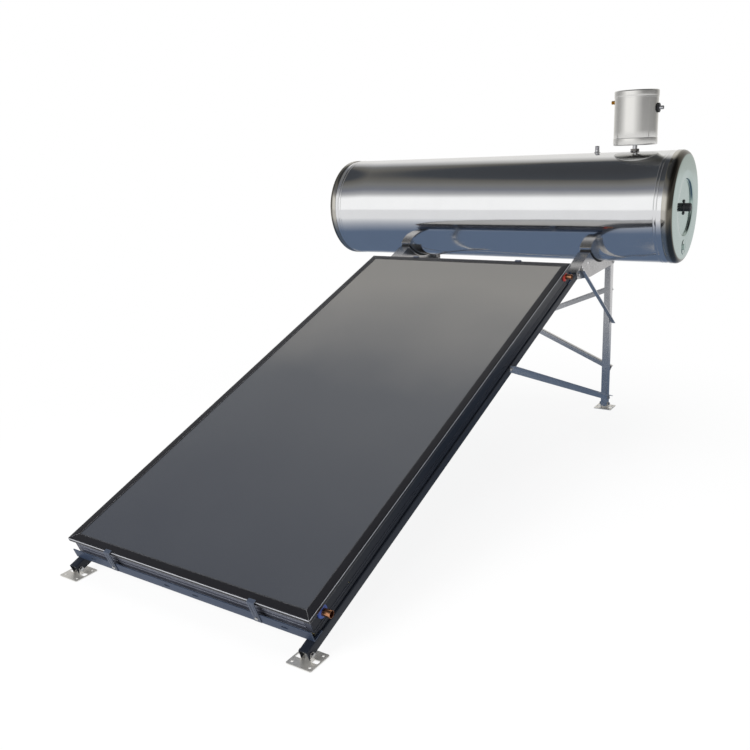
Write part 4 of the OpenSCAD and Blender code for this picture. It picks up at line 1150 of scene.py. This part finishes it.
def floor_material():
    """Pale floor, plain white far away; in reflections it is blue-grey near the tank."""
    mat, tree, shader = new_material("pale_floor")
    wire(tree, shader, {"Base Color": (0.86, 0.86, 0.86, 1), "Roughness": 0.9,
                        "Specular IOR Level": 0.0})
    place = object_place(tree)
    away = vector_step(tree, "DISTANCE", place, (0, 0, 0), "Value")
    white = add(tree, "Emission", {"Color": (1, 1, 1, 1)})
    fade = remap(tree, away, 1.0, 2.4, 0.88, 1.0)
    seen = add(tree, "MixShader", {"Fac": fade, 1: shader.outputs["BSDF"], 2: white})
    squashed = vector_step(tree, "MULTIPLY", place, SQUASH)
    spot = (TANK_SPOT.x * SQUASH[0], TANK_SPOT.y, 0)
    spread = remap(tree, vector_step(tree, "DISTANCE", squashed, spot, "Value"), 0.9, 2.6)
    mirrored = add(tree, "Emission", {"Color": mix_color(tree, spread, BLUE_FLOOR, FAR_FLOOR)})
    glossy = add(tree, "LightPath", {}, "Is Glossy Ray")
    pick = add(tree, "MixShader", {"Fac": glossy, 1: seen, 2: mirrored})
    wire(tree, tree.nodes["Material Output"], {"Surface": pick})
    return mat


floor_bm = bmesh.new()
corners = [(x * REACH, y * REACH, -0.0005) for x, y in ((-1, -1), (1, -1), (1, 1), (-1, 1))]
floor_bm.faces.new([floor_bm.verts.new(corner) for corner in corners])
floor = new_object("floor", floor_bm)
floor.data.materials.append(floor_material())

# The studio around the object: bright low down, dark overhead, plain white to the camera
world = bpy.data.worlds.new("studio")
SCENE.world = world
world.use_nodes = True
tree = world.node_tree
direction = add(tree, "TexCoord", {}, "Generated")
toward = axis_parts(tree, direction)
sky = color_ramp(tree, toward["Z"], [
    (0.0, (1.0, 1.0, 1.0)), (1.0, (0.045, 0.046, 0.05)), (0.38, (1.0, 1.0, 1.0)),
    (0.50, (0.42, 0.42, 0.43)), (0.62, (0.19, 0.20, 0.23)), (0.74, (0.19, 0.19, 0.185)),
    (0.82, (0.13, 0.125, 0.115)), (0.86, (0.055, 0.06, 0.068)),
])
# The sky behind the object stays bright higher up than the sky in front of it
behind = remap(tree, toward["Y"], 0.40, 0.70)
glow = mix_color(tree, behind, sky, (0.80, 0.79, 0.77, 1))
# The studio is dimmer on its right, and at the far left
right = remap(tree, toward["X"], 0.0, 0.75, 1.0, 0.24)
far_left = remap(tree, toward["X"], -0.62, -1.0, 1.0, 0.35)
flanks = math_step(tree, "MULTIPLY", right, far_left)
dimmed = add(tree, "VectorMath", {0: glow, "Scale": flanks}, operation="SCALE")
camera_ray = add(tree, "LightPath", {}, "Is Camera Ray")
wire(tree, tree.nodes["Background"], {"Color": mix_color(tree, camera_ray, dimmed, (1, 1, 1, 1))})


def soft_light(name, location, size, energy, color=(1, 1, 1)):
    """Area lamp aimed at the middle of the object, unseen by the camera and in reflections."""
    data = bpy.data.lights.new(name, "AREA")
    data.shape = "RECTANGLE"
    data.size, data.size_y = size
    data.energy = energy
    data.color = color
    lamp = bpy.data.objects.new(name, data)
    lamp.location = location
    aim = Vector(MIDDLE) - Vector(location)
    lamp.rotation_euler = aim.to_track_quat("-Z", "Y").to_euler()
    SCENE.collection.objects.link(lamp)
    lamp.visible_glossy = False
    lamp.visible_camera = False


soft_light("key", (-2.2, -5.6, 3.6), (3.6, 2.4), 420)
soft_light("fill", (5.2, -1.6, 2.2), (2.4, 2.4), 90, (0.93, 0.96, 1.0))
soft_light("overhead", (0, 0.6, 5.0), (4.0, 4.0), 160)

SCENE.view_settings.view_transform = "Standard"
